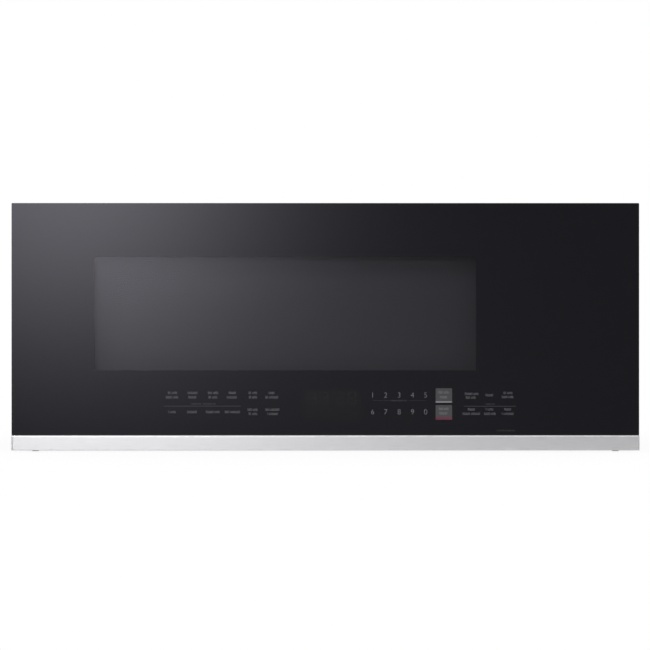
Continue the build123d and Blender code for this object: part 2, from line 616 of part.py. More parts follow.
def make_feet():
    feet_y = (INSIDE_Y[0] + FOOT_SETBACK, INSIDE_Y[1] - FOOT_SETBACK)
    feet = [
        post(x, y, (0, FOOT_HEIGHT), FOOT_RADIUS)
        for x in grow(CASE_X, -FOOT_SIDE_INSET)
        for y in feet_y
    ]
    PARTS["base_feet"] = group(feet)


# ---------------------------------------------------------------- mounting pieces
def make_wall_plate():
    x = WALL_PLATE_X
    rim_x, rim_z = WALL_PLATE_RIM
    window = block(grow(x, -rim_x), grow(PLATE_Y, WALL_PLATE_SHEET), grow(WALL_PLATE_Z, -rim_z))
    plate = block(x, PLATE_Y, WALL_PLATE_Z) - window
    depth = (CASE_BACK, PLATE_Y[0])
    plate += block(x, depth, (WALL_PLATE_Z[0], WALL_PLATE_Z[0] + WALL_PLATE_SHEET))
    plate += block(x, depth, (WALL_PLATE_Z[1] - WALL_PLATE_SHEET, WALL_PLATE_Z[1]))
    for centre in about(0, HANG_HOOK_SPREAD):
        wide = about(centre, HANG_HOOK_WIDTH)
        tip = CASE_BACK - CASE_SHEET - HANG_HOOK_REACH
        prong = (HANG_HOOK_Z[0], HANG_HOOK_Z[0] + WALL_PLATE_SHEET)
        plate += block(wide, (tip, PLATE_Y[0]), prong)
        plate += block(wide, (tip, tip + WALL_PLATE_SHEET), HANG_HOOK_Z)
    for hole_x in about(0, STUD_SPACING):
        for hole_z in grow(WALL_PLATE_Z, -WALL_HOLE_MARGIN):
            plate -= bar_y(hole_x, grow(PLATE_Y, WALL_PLATE_SHEET), hole_z, WALL_HOLE_RADIUS)
    PARTS["wall_mounting_plate"] = plate


def make_top_fittings():
    nuts = []
    for x in TOP_BOLT_X:
        z = (INSIDE_Z[1] - TOP_NUT[2], INSIDE_Z[1])
        nut = block(about(x, TOP_NUT[0]), about(TOP_BOLT_Y, TOP_NUT[1]), z)
        nuts.append(nut - post(x, TOP_BOLT_Y, grow(z, OVERRUN), TOP_NUT_THREAD_RADIUS))
    PARTS["top_bolt_nuts"] = group(nuts)

    under = (INSIDE_Z[1] - CORD_FLANGE_HEIGHT, INSIDE_Z[1])
    gland = post(*CORD_PLACE, (under[0], CASE_TOP), CORD_HOLE_RADIUS)
    gland += post(*CORD_PLACE, under, CORD_HOLE_RADIUS + CORD_FLANGE)
    bore = post(*CORD_PLACE, grow((under[0], CASE_TOP), OVERRUN), CORD_BORE_RADIUS)
    PARTS["cord_gland"] = gland - bore


# ---------------------------------------------------------------- oven cavity
def vent_holes():
    """A patch of small holes through the cavity's left wall."""
    x = grow((CAVITY_SHELL_X[0], CAVITY_X[0]), OVERRUN)
    centre_z = sum(WAVEGUIDE_Z) / 2
    return [
        bar_x(
            x,
            WAVEGUIDE_CENTRE_Y + (column - (VENT_COLUMNS - 1) / 2) * VENT_HOLE_PITCH,
            centre_z + (row - (VENT_ROWS - 1) / 2) * VENT_HOLE_PITCH,
            VENT_HOLE_RADIUS,
        )
        for column in range(VENT_COLUMNS)
        for row in range(VENT_ROWS)
    ]


def lamp_holes(z):
    """The grid of holes in the ceiling that the oven lamp shines through."""
    middle = (LAMP_HOLE_COUNT - 1) / 2
    return [
        post(
            CAVITY_LAMP_PLACE[0] + (i - middle) * VENT_HOLE_PITCH,
            CAVITY_LAMP_PLACE[1] + (j - middle) * VENT_HOLE_PITCH,
            z,
            VENT_HOLE_RADIUS,
        )
        for i in range(LAMP_HOLE_COUNT)
        for j in range(LAMP_HOLE_COUNT)
    ]


def make_cavity():
    floor_y = (CAVITY_Y[0], CAVITY_SHELL_BACK)
    floor = block(CAVITY_SHELL_X, floor_y, (FLOOR_UNDER, CAVITY_Z[0]))
    hub_z = grow((FLOOR_UNDER, CAVITY_Z[0]), OVERRUN)
    floor -= post(*TURNTABLE, hub_z, COUPLER_HUB_RADIUS + COUPLER_HOLE_GAP)
    PARTS["cavity_floor"] = floor

    ceiling_z = (CAVITY_Z[1], CAVITY_Z[1] + CAVITY_SHEET)
    ceiling = block(CAVITY_SHELL_X, floor_y, ceiling_z)
    ceiling -= lamp_holes(grow(ceiling_z, OVERRUN))

    left = block((CAVITY_SHELL_X[0], CAVITY_X[0]), CAVITY_Y, CAVITY_Z)
    left -= vent_holes()

    right_x = (CAVITY_X[1], CAVITY_SHELL_X[1])
    right = block(right_x, CAVITY_Y, CAVITY_Z)
    right -= block(grow(right_x, OVERRUN), APERTURE_Y, APERTURE_Z)
    back = block(CAVITY_SHELL_X, (CAVITY_Y[1], CAVITY_SHELL_BACK), CAVITY_Z)
    PARTS["cavity_walls"] = group([ceiling, left, right, back])


def make_waveguide():
    PARTS["waveguide_cover"] = block(
        (CAVITY_X[1] - MICA_SHEET, CAVITY_X[1]),
        grow(APERTURE_Y, MICA_LAP),
        grow(APERTURE_Z, MICA_LAP),
    )
    shell = block(WAVEGUIDE_X, WAVEGUIDE_Y, WAVEGUIDE_Z)
    inner_x = (WAVEGUIDE_X[0] - OVERRUN, WAVEGUIDE_X[1] - WAVEGUIDE_WALL)
    shell -= block(inner_x, grow(WAVEGUIDE_Y, -WAVEGUIDE_WALL), grow(WAVEGUIDE_Z, -WAVEGUIDE_WALL))
    hole_x = grow((inner_x[1], WAVEGUIDE_X[1]), OVERRUN)
    shell -= bar_x(hole_x, WAVEGUIDE_CENTRE_Y, YOKE_CENTRE_Z, ANTENNA_HOLE_RADIUS)
    PARTS["waveguide"] = shell


def make_steam_duct():
    x = (INSIDE_X[0] + STEAM_DUCT_SIDE_GAP, CAVITY_SHELL_X[0])
    y = about(WAVEGUIDE_CENTRE_Y, STEAM_DUCT_DEPTH)
    z = (CAVITY_Z[0] + STEAM_DUCT_LIFT, CAVITY_Z[1])
    inside = block(
        (x[0] + STEAM_DUCT_WALL, x[1] + OVERRUN),
        grow(y, -STEAM_DUCT_WALL),
        (z[0] + STEAM_DUCT_WALL, z[1] + OVERRUN),
    )
    PARTS["steam_duct"] = block(x, y, z) - inside


def cavity_lamp():
    """The oven lamp's housing and bulb, on the cavity's ceiling."""
    z = (CAVITY_Z[1] + CAVITY_SHEET, CAVITY_Z[1] + CAVITY_SHEET + CAVITY_LAMP_SIZE[2])
    x = about(CAVITY_LAMP_PLACE[0], CAVITY_LAMP_SIZE[0])
    y = about(CAVITY_LAMP_PLACE[1], CAVITY_LAMP_SIZE[1])
    inside_z = (z[0] - OVERRUN, z[1] - LAMP_HOUSING_WALL)
    inside = block(grow(x, -LAMP_HOUSING_WALL), grow(y, -LAMP_HOUSING_WALL), inside_z)
    bulb_z = (z[0] + CAVITY_LAMP_SIZE[2] / 3, z[1] - LAMP_HOUSING_WALL)
    return block(x, y, z) - inside, post(*CAVITY_LAMP_PLACE, bulb_z, CAVITY_LAMP_SIZE[0] / 4)


# ---------------------------------------------------------------- turntable
def turntable_motor_screws():
    ear_z = (MOTOR_Z[1] - MOTOR_EAR_THICKNESS, MOTOR_Z[1])
    head_z = (ear_z[0] - MOTOR_EAR_THICKNESS, ear_z[0])
    screws = []
    for x in about(TURNTABLE[0], MOTOR_EAR_SPREAD):
        shank = post(x, TURNTABLE[1], ear_z, MOTOR_SCREW_RADIUS)
        screws.append(shank + post(x, TURNTABLE[1], head_z, MOTOR_SCREW_HEAD))
    return screws


def make_turntable_drive():
    motor = post(*TURNTABLE, MOTOR_Z, TURNTABLE_MOTOR_RADIUS)
    ear_z = (MOTOR_Z[1] - MOTOR_EAR_THICKNESS, MOTOR_Z[1])
    ear_x = about(TURNTABLE[0], MOTOR_EAR_SPREAD + MOTOR_EAR_WIDTH)
    motor += block(ear_x, about(TURNTABLE[1], MOTOR_EAR_WIDTH), ear_z)
    bore_z = (MOTOR_Z[1] - TURNTABLE_SHAFT_DEPTH - FIT, MOTOR_Z[1] + OVERRUN)
    motor -= post(*TURNTABLE, bore_z, TURNTABLE_SHAFT_RADIUS + PIN_RUNNING_FIT)
    for x in about(TURNTABLE[0], MOTOR_EAR_SPREAD):
        motor -= post(x, TURNTABLE[1], grow(ear_z, OVERRUN), MOTOR_SCREW_RADIUS + SHEET_FIT)
    PARTS["turntable_motor"] = motor

    top = TRAY_Z - FIT
    hub_z = (FLOOR_UNDER + FIT, top)
    lobe_z = (top - COUPLER_LOBE_HEIGHT, top)
    coupler = post(*TURNTABLE, hub_z, COUPLER_HUB_RADIUS)
    lobe = block((0, COUPLER_LOBE_LENGTH), about(0, COUPLER_LOBE_WIDTH), lobe_z)
    for i in range(ROLLER_COUNT):
        coupler += Pos(*TURNTABLE, 0) * Rot(0, 0, 360 * i / ROLLER_COUNT) * lobe
    shaft_z = (MOTOR_Z[1] - TURNTABLE_SHAFT_DEPTH, top - TAB_THICKNESS)
    coupler -= post(*TURNTABLE, shaft_z, TURNTABLE_SHAFT_RADIUS)
    shaft = post(*TURNTABLE, shaft_z, TURNTABLE_SHAFT_RADIUS)
    PARTS["turntable_coupler"] = group([coupler, shaft])


def make_tray():
    base = TRAY_RADIUS - TRAY_RIM_SLOPE
    rim_top = TRAY_Z + TRAY_RIM_HEIGHT
    outline = Polyline(
        (0, TRAY_Z),
        (base, TRAY_Z),
        (TRAY_RADIUS, rim_top - TRAY_RIM_WALL),
        (TRAY_RADIUS, rim_top),
        (TRAY_RADIUS - TRAY_RIM_WALL, rim_top),
        (base - TRAY_RIM_WALL, TRAY_Z + TRAY_THICKNESS),
        (0, TRAY_Z + TRAY_THICKNESS),
        close=True,
    )
    tray = revolve(make_face(Plane.XZ * outline), Axis.Z)
    lug = post(TRAY_LUG_CIRCLE, 0, (TRAY_Z - TRAY_LUG_HEIGHT, TRAY_Z), TRAY_LUG_RADIUS)
    for i in range(ROLLER_COUNT):
        tray += Rot(0, 0, 360 * (i + 0.5) / ROLLER_COUNT) * lug
    PARTS["glass_turntable"] = Pos(*TURNTABLE, 0) * tray


def make_roller_ring():
    z = about(ROLLER_Z, RING_HEIGHT)
    ring = post(0, 0, z, RING_RADIUS) - post(0, 0, grow(z, OVERRUN), RING_RADIUS - RING_WIDTH)
    start = RING_RADIUS + ROLLER_SIDE_GAP
    end = start + ROLLER_WIDTH
    cap = (end + ROLLER_SIDE_GAP, end + ROLLER_SIDE_GAP + AXLE_CAP)
    axle = bar_x((RING_RADIUS - RING_WIDTH / 2, cap[1]), 0, ROLLER_Z, AXLE_RADIUS)
    axle += bar_x(cap, 0, ROLLER_Z, AXLE_CAP_RADIUS)
    roller = bar_x((start, end), 0, ROLLER_Z, ROLLER_RADIUS)
    roller -= bar_x(grow((start, end), OVERRUN), 0, ROLLER_Z, AXLE_RADIUS + PIN_RUNNING_FIT)
    for i in range(ROLLER_COUNT):
        place = Pos(*TURNTABLE, 0) * Rot(0, 0, 90 + 360 * i / ROLLER_COUNT)
        PARTS[f"roller_{i + 1}"] = place * roller
        ring += Rot(0, 0, 90 + 360 * i / ROLLER_COUNT) * axle
    PARTS["roller_ring"] = Pos(*TURNTABLE, 0) * ring


# ---------------------------------------------------------------- microwave source
def make_magnetron():
    yoke = block(YOKE_X, YOKE_Y, YOKE_Z)
    yoke -= block(grow(YOKE_X, -YOKE_WALL), grow(YOKE_Y, OVERRUN), grow(YOKE_Z, -YOKE_WALL))
    hole_x = grow((YOKE_X[0], YOKE_X[0] + YOKE_WALL), OVERRUN)
    yoke -= bar_x(hole_x, WAVEGUIDE_CENTRE_Y, YOKE_CENTRE_Z, ANTENNA_HOLE_RADIUS)
    filter_box = block(
        (YOKE_X[1], YOKE_X[1] + FILTER_BOX_SIZE[0]),
        about(WAVEGUIDE_CENTRE_Y, FILTER_BOX_SIZE[1]),
        about(YOKE_CENTRE_Z, FILTER_BOX_SIZE[2]),
    )
    PARTS["magnetron_yoke"] = group([yoke, filter_box])

    tube_x = grow(YOKE_X, -YOKE_WALL)
    tube = bar_x(tube_x, WAVEGUIDE_CENTRE_Y, YOKE_CENTRE_Z, TUBE_RADIUS)
    antenna_x = (YOKE_X[0] - ANTENNA_LENGTH, tube_x[0])
    tube += bar_x(antenna_x, WAVEGUIDE_CENTRE_Y, YOKE_CENTRE_Z, ANTENNA_RADIUS)
    fins = []
    pitch = (tube_x[1] - tube_x[0]) / (FIN_COUNT + 1)
    for i in range(FIN_COUNT):
        x = about(tube_x[0] + pitch * (i + 1), FIN_THICKNESS)
        fin = block(x, YOKE_Y, grow(YOKE_Z, -YOKE_WALL))
        fins.append(fin - bar_x(grow(x, OVERRUN), WAVEGUIDE_CENTRE_Y, YOKE_CENTRE_Z, TUBE_RADIUS))
    PARTS["magnetron_tube"] = group([tube] + fins)


def make_transformer():
    x = (BAY_X[0] + CORE_SIDE_GAP, BAY_X[0] + CORE_SIDE_GAP + CORE_SIZE[0])
    y = (INSIDE_Y[0] + CORE_SETBACK, INSIDE_Y[0] + CORE_SETBACK + CORE_SIZE[1])
    z = (INSIDE_Z[0], INSIDE_Z[0] + CORE_SIZE[2])
    centre_x = sum(x) / 2
    window_z = about(sum(z) / 2, CORE_WINDOW[1])
    core = block(x, y, z)
    for side in (-1, 1):
        window_x = about(centre_x + side * (CORE_LIMB + CORE_WINDOW[0]) / 2, CORE_WINDOW[0])
        core -= block(window_x, grow(y, OVERRUN), window_z)
    PARTS["transformer_core"] = core

    limb_x = grow(about(centre_x, CORE_LIMB), COIL_GAP)
    wire = CORE_WINDOW[0] - 2 * COIL_GAP
    coil_height = (CORE_WINDOW[1] - 3 * COIL_GAP) / 2
    coils = []
    for i in range(2):
        base = window_z[0] + COIL_GAP + i * (coil_height + COIL_GAP)
        span = (base, base + coil_height)
        hole_y = grow(y, COIL_GAP)
        coil = block(grow(limb_x, wire), grow(hole_y, wire), span)
        coils.append(coil - block(limb_x, hole_y, grow(span, OVERRUN)))
    PARTS["transformer_coils"] = group(coils)


def make_high_voltage_parts():
    width, depth, height = CAPACITOR_SIZE
    x, y = (BAY_X[0] + CAPACITOR_PLACE[0], INSIDE_Y[0] + CAPACITOR_PLACE[1])
    z = (INSIDE_Z[0], INSIDE_Z[0] + height)
    ends = about(x, width - depth)

    def can(extra, span):
        body = block(ends, grow(about(y, depth), extra), span)
        for end in ends:
            body += post(end, y, span, depth / 2 + extra)
        return body

    terminals = [post(end, y, (z[1], z[1] + TERMINAL_HEIGHT), TERMINAL_RADIUS) for end in ends]
    capacitor = can(0, z) + terminals
    strap_z = (z[0] + CLAMP_SHEET, z[0] + CLAMP_SHEET + CLAMP_HEIGHT)
    strap = can(CLAMP_SHEET, strap_z)
    foot_x = (ends[1] + depth / 2, ends[1] + depth / 2 + CLAMP_FOOT)
    strap += block((foot_x[0], foot_x[0] + CLAMP_SHEET), about(y, CLAMP_FOOT), (z[0], strap_z[1]))
    strap += block(foot_x, about(y, CLAMP_FOOT), (z[0], z[0] + CLAMP_SHEET))
    strap -= can(0, grow(z, OVERRUN))
    diode_y = y - depth / 2 - CLAMP_SHEET - 2 * DIODE_RADIUS
    diode = bar_x(about(x, DIODE_LENGTH), diode_y, z[0] + DIODE_RADIUS, DIODE_RADIUS)
    PARTS["high_voltage_parts"] = group([capacitor, strap, diode])


# ---------------------------------------------------------------- cooling fan
def make_cooling_fan():
    centre = (BAY_CENTRE_X, FAN_CENTRE_Z)
    plate = block(BAY_X, SHROUD_PLATE_Y, about(FAN_CENTRE_Z, SHROUD_HEIGHT))
    plate += bar_y(centre[0], COLLAR_Y, centre[1], FAN_ORIFICE_RADIUS + FAN_COLLAR_WALL)
    orifice_y = grow((SHROUD_PLATE_Y[0], COLLAR_Y[1]), OVERRUN)
    plate -= bar_y(centre[0], orifice_y, centre[1], FAN_ORIFICE_RADIUS)
    for x in about(centre[0], FAN_POST_SPREAD):
        plate += bar_y(x, (SHROUD_PLATE_Y[1], FAN_STRAP_Y[0]), centre[1], FAN_POST_RADIUS)
    PARTS["fan_shroud"] = plate

    strap_x = about(centre[0], FAN_POST_SPREAD + 2 * FAN_POST_RADIUS)
    motor = block(strap_x, FAN_STRAP_Y, about(centre[1], FAN_STRAP_HEIGHT))
    motor += block(about(centre[0], FAN_STACK_SIZE[0]), FAN_STACK_Y, about(centre[1], FAN_STACK_SIZE[2]))
    bore = (FAN_STRAP_Y[0] - OVERRUN, FAN_STACK_Y[1] - FAN_STRAP)
    motor -= bar_y(centre[0], bore, centre[1], FAN_SHAFT_RADIUS + FAN_RUNNING_FIT)
    PARTS["fan_motor"] = motor

    hub_y = about((SHROUD_PLATE_Y[1] + COLLAR_Y[1]) / 2, FAN_HUB_DEPTH)
    fan = bar_y(0, hub_y, 0, FAN_HUB_RADIUS)
    reach = (FAN_HUB_RADIUS - FAN_BLADE_THICKNESS, FAN_ORIFICE_RADIUS - FAN_TIP_GAP)
    flat = block(reach, about(0, FAN_BLADE_THICKNESS), about(0, FAN_BLADE_CHORD))
    blade = Rot(90 - FAN_BLADE_PITCH, 0, 0) * flat
    tips = bar_y(0, grow(hub_y, FAN_BLADE_CHORD), 0, reach[1])
    for i in range(FAN_BLADES):
        fan += Pos(0, sum(hub_y) / 2, 0) * Rot(0, 360 * i / FAN_BLADES, 0) * blade
    fan = fan & tips
    fan += bar_y(0, (hub_y[1], bore[1] - FIT), 0, FAN_SHAFT_RADIUS)
    PARTS["cooling_fan"] = Pos(centre[0], 0, centre[1]) * fan


# ---------------------------------------------------------------- blower
def scroll_span(side):
    """A scroll's span along X, outwards from the motor."""
    start = BLOWER_MOTOR_LENGTH / 2 + SCROLL_GAP
    return sorted((BLOWER_CENTRE_X + side * start, BLOWER_CENTRE_X + side * (start + SCROLL_LENGTH)))


def make_blower_housing():
    y, z = BLOWER_AXIS
    top = INSIDE_Z[1] - SCROLL_TOP_GAP
    scrolls = []
    for side in (-1, 1):
        x = scroll_span(side)
        inner_x = grow(x, -SCROLL_WALL)
        radius = SCROLL_RADIUS - SCROLL_WALL
        shell = bar_x(x, y, z, SCROLL_RADIUS) + block(x, BLOWER_GAP_Y, (z, top))
        shell -= bar_x(inner_x, y, z, radius)
        shell -= block(inner_x, about(y, 2 * radius), (z, top - SCROLL_WALL))
        mouth_z = (CAVITY_Z[1] + CAVITY_SHEET + SCROLL_WALL, top - SCROLL_WALL)
        shell -= block(inner_x, (BLOWER_GAP_Y[0] - OVERRUN, y), mouth_z)
        shell -= bar_x(grow(x, OVERRUN), y, z, SCROLL_INLET_RADIUS)
        scrolls.append(shell)
    PARTS["blower_housings"] = group(scrolls)


def make_blower_motor():
    y, z = BLOWER_AXIS
    motor = bar_x(about(BLOWER_CENTRE_X, BLOWER_MOTOR_LENGTH), y, z, BLOWER_MOTOR_RADIUS)
    motor += block(about(BLOWER_CENTRE_X, BLOWER_FOOT[0]), (y, BLOWER_GAP_Y[1]), about(z, BLOWER_FOOT[1]))
    shaft_x = (scroll_span(-1)[0], scroll_span(1)[1])
    PARTS["blower_motor"] = motor - bar_x(shaft_x, y, z, BLOWER_SHAFT_RADIUS + PIN_RUNNING_FIT)


def make_blower_wheels():
    """Both squirrel-cage wheels on the motor's double-ended shaft."""
    y, z = BLOWER_AXIS
    inner = WHEEL_RADIUS - WHEEL_RING_WIDTH
    shaft_x = grow((scroll_span(-1)[0], scroll_span(1)[1]), -SCROLL_WALL)
    rotor = bar_x(shaft_x, 0, 0, BLOWER_SHAFT_RADIUS)
    for side in (-1, 1):
        x = grow(scroll_span(side), -SCROLL_WALL - WHEEL_END_GAP)
        rotor += bar_x(about(sum(x) / 2, WHEEL_PLATE), 0, 0, WHEEL_RADIUS)
        for end in ((x[0], x[0] + WHEEL_PLATE), (x[1] - WHEEL_PLATE, x[1])):
            rotor += bar_x(end, 0, 0, WHEEL_RADIUS) - bar_x(grow(end, OVERRUN), 0, 0, inner)
        blade_z = (inner + WHEEL_BLADE_THICKNESS, WHEEL_RADIUS - WHEEL_BLADE_THICKNESS)
        blade = block(x, about(0, WHEEL_BLADE_THICKNESS), blade_z)
        rotor += [Rot(360 * i / WHEEL_BLADES, 0, 0) * blade for i in range(WHEEL_BLADES)]
    PARTS["blower_wheels"] = Pos(0, y, z) * rotor


# ---------------------------------------------------------------- air path and lamps
def make_grease_filters():
    for name, centre in FILTER_CENTRES.items():
        x = about(centre, GREASE_FILTER_WIDTH)
        inner_x = grow(x, -GREASE_FILTER_RIM)
        inner_y = grow(FILTER_Y, -GREASE_FILTER_RIM)
        frame = block(x, (FILTER_Y[0], FILTER_PIVOT[0]), FILTER_Z)
        frame += bar_x(x, *FILTER_PIVOT, GREASE_FILTER_HEIGHT / 2)
        frame -= block(inner_x, inner_y, grow(FILTER_Z, OVERRUN))
        tab_z = (INSIDE_Z[0] + FIT, INSIDE_Z[0] + FIT + GREASE_TAB[2])
        for tab_x in about(centre, GREASE_TAB_SPREAD):
            reach = (FILTER_PIVOT[0], FILTER_Y[1] + GREASE_TAB[1])
            frame += block(about(tab_x, GREASE_TAB[0]), reach, tab_z)
        pull_y = (FILTER_Y[0], FILTER_Y[0] + GREASE_PULL[1])
        frame += block(about(centre, GREASE_PULL[0]), pull_y, (FILTER_Z[0] - GREASE_PULL[2], FILTER_Z[0]))
        mesh_z = about(sum(FILTER_Z) / 2, GREASE_MESH)
        PARTS[f"grease_filter_{name}"] = group([frame, block(inner_x, inner_y, mesh_z)])


def make_top_grille():
    flange_z = (INSIDE_Z[1] - GRILLE_FLANGE_HEIGHT, INSIDE_Z[1])
    grille = block(GRILLE_X, GRILLE_Y, (flange_z[0], CASE_TOP))
    grille += block(grow(GRILLE_X, GRILLE_FLANGE), grow(GRILLE_Y, GRILLE_FLANGE), flange_z)
    count = int((GRILLE_WIDTH - GRILLE_SLOT_PITCH) / GRILLE_SLOT_PITCH)
    slot_y = about(sum(GRILLE_Y) / 2, GRILLE_SLOT[1])
    slot_z = grow((flange_z[0], CASE_TOP), OVERRUN)
    slots = []
    for i in range(count):
        x = (i - (count - 1) / 2) * GRILLE_SLOT_PITCH
        slots.append(block(about(x, GRILLE_SLOT[0]), slot_y, slot_z))
    PARTS["top_vent_grille"] = grille - slots
    PARTS["charcoal_filter"] = block(GRILLE_X, GRILLE_Y, (flange_z[0] - CHARCOAL_HEIGHT, flange_z[0]))


def make_exhaust_cover():
    PARTS["exhaust_cover"] = block(
        grow(EXHAUST_X, EXHAUST_LAP),
        grow(EXHAUST_Y, EXHAUST_LAP),
        (INSIDE_Z[1] - COVER_SHEET, INSIDE_Z[1]),
    )


def make_lamps():
    lenses = []
    housing, bulb = cavity_lamp()
    housings = [housing]
    lamps = [bulb]
    for centre in LAMP_CENTRES:
        x = about(centre, COOKTOP_LENS[0])
        flange_z = (INSIDE_Z[0], INSIDE_Z[0] + LENS_THICKNESS)
        lens = block(x, LENS_Y, (CASE_BOTTOM, flange_z[0]))
        lenses.append(lens + block(grow(x, LENS_LAP), grow(LENS_Y, LENS_LAP), flange_z))
        inner_x = grow(x, LENS_LAP + FIT)
        inner_y = grow(LENS_Y, LENS_LAP + FIT)
        top = INSIDE_Z[0] + LAMP_HOUSING_HEIGHT
        outer = (grow(inner_x, LAMP_HOUSING_WALL), grow(inner_y, LAMP_HOUSING_WALL))
        inner_z = (INSIDE_Z[0] - OVERRUN, top - LAMP_HOUSING_WALL)
        housing = block(*outer, (INSIDE_Z[0], top)) - block(inner_x, inner_y, inner_z)
        housings.append(housing)
        board_z = (inner_z[1] - LAMP_BOARD[2], inner_z[1])
        board_y = about(COOKTOP_LAMP_Y, LAMP_BOARD[1])
        lamps.append(block(about(centre, LAMP_BOARD[0]), board_y, board_z))
    PARTS["cooktop_lamp_lenses"] = group(lenses)
    PARTS["lamp_housings"] = group(housings)
    PARTS["lamps"] = group(lamps)


# ---------------------------------------------------------------- electronics
def main_board():
    y = (INSIDE_Y[0] + MAIN_BOARD_FRONT, INSIDE_Y[0] + MAIN_BOARD_FRONT + MAIN_BOARD_SIZE[0])
    z = (CAVITY_Z[0] + MAIN_BOARD_LIFT, CAVITY_Z[0] + MAIN_BOARD_LIFT + MAIN_BOARD_SIZE[1])
    x = (INSIDE_X[1] - STANDOFF - BOARD_THICKNESS, INSIDE_X[1] - STANDOFF)
    board = block(x, y, z)
    for post_y in grow(y, -2 * STANDOFF_RADIUS):
        for post_z in grow(z, -2 * STANDOFF_RADIUS):
            board += bar_x((x[1], INSIDE_X[1]), post_y, post_z, STANDOFF_RADIUS)
    relay_y = about(y[0] + RELAY_INSET, RELAY_SIZE[1])
    for i in range(RELAY_COUNT):
        relay_z = z[0] + MAIN_BOARD_SIZE[1] * (i + 1) / (RELAY_COUNT + 1)
        board += block((x[0] - RELAY_SIZE[0], x[0]), relay_y, about(relay_z, RELAY_SIZE[2]))
    supply_y = about(y[1] - SUPPLY_INSET, SUPPLY_SIZE[1])
    board += block((x[0] - SUPPLY_SIZE[0], x[0]), supply_y, about(sum(z) / 2, SUPPLY_SIZE[2]))
    return board


def line_filter_board():
    x = (BAY_X[0] + LINE_BOARD_SIDE_GAP, BAY_X[0] + LINE_BOARD_SIDE_GAP + LINE_BOARD_SIZE[0])
    z = (INSIDE_Z[1] - LINE_BOARD_DROP - LINE_BOARD_SIZE[1], INSIDE_Z[1] - LINE_BOARD_DROP)
    y = (INSIDE_Y[1] - STANDOFF - BOARD_THICKNESS, INSIDE_Y[1] - STANDOFF)
    board = block(x, y, z)
    for post_x in grow(x, -2 * STANDOFF_RADIUS):
        for post_z in grow(z, -2 * STANDOFF_RADIUS):
            board += bar_y(post_x, (y[1], INSIDE_Y[1]), post_z, STANDOFF_RADIUS)
    coil_y = (y[0] - CHOKE_COIL_DEPTH, y[0])
    coil = bar_y(sum(x) / 2, coil_y, sum(z) / 2, CHOKE_COIL_RADIUS)
    hole_y = (coil_y[0] - OVERRUN, coil_y[1])
    board += coil - bar_y(sum(x) / 2, hole_y, sum(z) / 2, CHOKE_COIL_RADIUS / 2)
    return board


def make_circuit_boards():
    PARTS["circuit_boards"] = group([main_board(), line_filter_board()])


def make_thermal_cutouts():
    ceiling = CAVITY_Z[1] + CAVITY_SHEET
    yoke_top = (YOKE_Z[1], YOKE_Z[1] + CUTOUT_HEIGHT)
    on_magnetron = post(sum(YOKE_X) / 2, WAVEGUIDE_CENTRE_Y, yoke_top, CUTOUT_RADIUS)
    on_oven = post(*CUTOUT_PLACE, (ceiling, ceiling + CUTOUT_HEIGHT), CUTOUT_RADIUS)
    PARTS["thermal_cutouts"] = group([on_magnetron, on_oven])


# ---------------------------------------------------------------- hinge
def hinge_screws():
    screws = []
    for z in HINGE_SCREW_Z:
        shank = bar_y(HINGE_SCREW_X, (CASE_FRONT, BRACKET_Y[1]), z, HINGE_SCREW_RADIUS)
        head = (BRACKET_Y[1], BRACKET_Y[1] + HINGE_SCREW_HEAD_HEIGHT)
        screws.append(shank + bar_y(HINGE_SCREW_X, head, z, HINGE_SCREW_HEAD))
    return screws


def make_screws():
    PARTS["screws"] = group(case_screws() + hinge_screws() + turntable_motor_screws())


def make_hinge():
    brackets = []
    for tab, wall in ((LOWER_TAB_Z, LOWER_BRACKET_Z), (UPPER_TAB_Z, UPPER_BRACKET_Z)):
        bracket = block(BRACKET_X, BRACKET_Y, wall)
        bracket += block(about(PIVOT[0], 2 * TAB_HALF_WIDTH), (PIVOT[1], BRACKET_Y[0]), tab)
        bracket += post(*PIVOT, tab, TAB_HALF_WIDTH)
        bracket -= post(*PIVOT, grow(tab, OVERRUN), PIN_RADIUS)
        bracket -= hinge_screw_holes(grow(BRACKET_Y, OVERRUN), HINGE_SCREW_RADIUS + SHEET_FIT)
        brackets.append(bracket)
    pins = [post(*PIVOT, span, PIN_RADIUS) for span in (LOWER_PIN_Z, UPPER_PIN_Z)]
    PARTS["hinge_brackets"] = group(brackets + pins)

    bushes = []
    lower = (LOWER_POCKET_TOP, LOWER_PIN_Z[1] + FIT)
    upper = (UPPER_PIN_Z[0] - FIT, UPPER_POCKET_BASE)
    for body, flange in (
        (lower, (lower[0] - BUSH_FLANGE, lower[0])),
        (upper, (upper[1], upper[1] + BUSH_FLANGE)),
    ):
        bush = post(*PIVOT, body, BUSH_RADIUS) + post(*PIVOT, flange, BUSH_FLANGE_RADIUS)
        bore = grow((min(body[0], flange[0]), max(body[1], flange[1])), OVERRUN)
        bushes.append(bush - post(*PIVOT, bore, PIN_RADIUS + PIN_RUNNING_FIT))
    PARTS["hinge_bushes"] = group(bushes)


# ---------------------------------------------------------------- latch
def make_latch_key():
    key = block(LATCH_KEY_X, LATCH_KEY_Y, LATCH_KEY_Z)
    for hook in HOOK_Z:
        head_z = (hook - HOOK_BARB, hook - HOOK_BARB + HOOK_TALL)
        key += block(LATCH_KEY_X, (LATCH_KEY_Y[1], HOOK_TIP_Y), (hook, hook + HOOK_SHANK_HEIGHT))
        key += block(LATCH_KEY_X, (HOOK_TIP_Y - HOOK_HEAD_DEPTH, HOOK_TIP_Y), head_z)
    PARTS["latch_key"] = key
    spring_z = (LATCH_KEY_Z[1], LATCH_KEY_Z[1] + SPRING_LENGTH)
    place = (LATCH_X, sum(LATCH_KEY_Y) / 2)
    spring = post(*place, spring_z, SPRING_RADIUS)
    PARTS["latch_spring"] = spring - post(*place, grow(spring_z, OVERRUN), SPRING_RADIUS - SPRING_WALL)


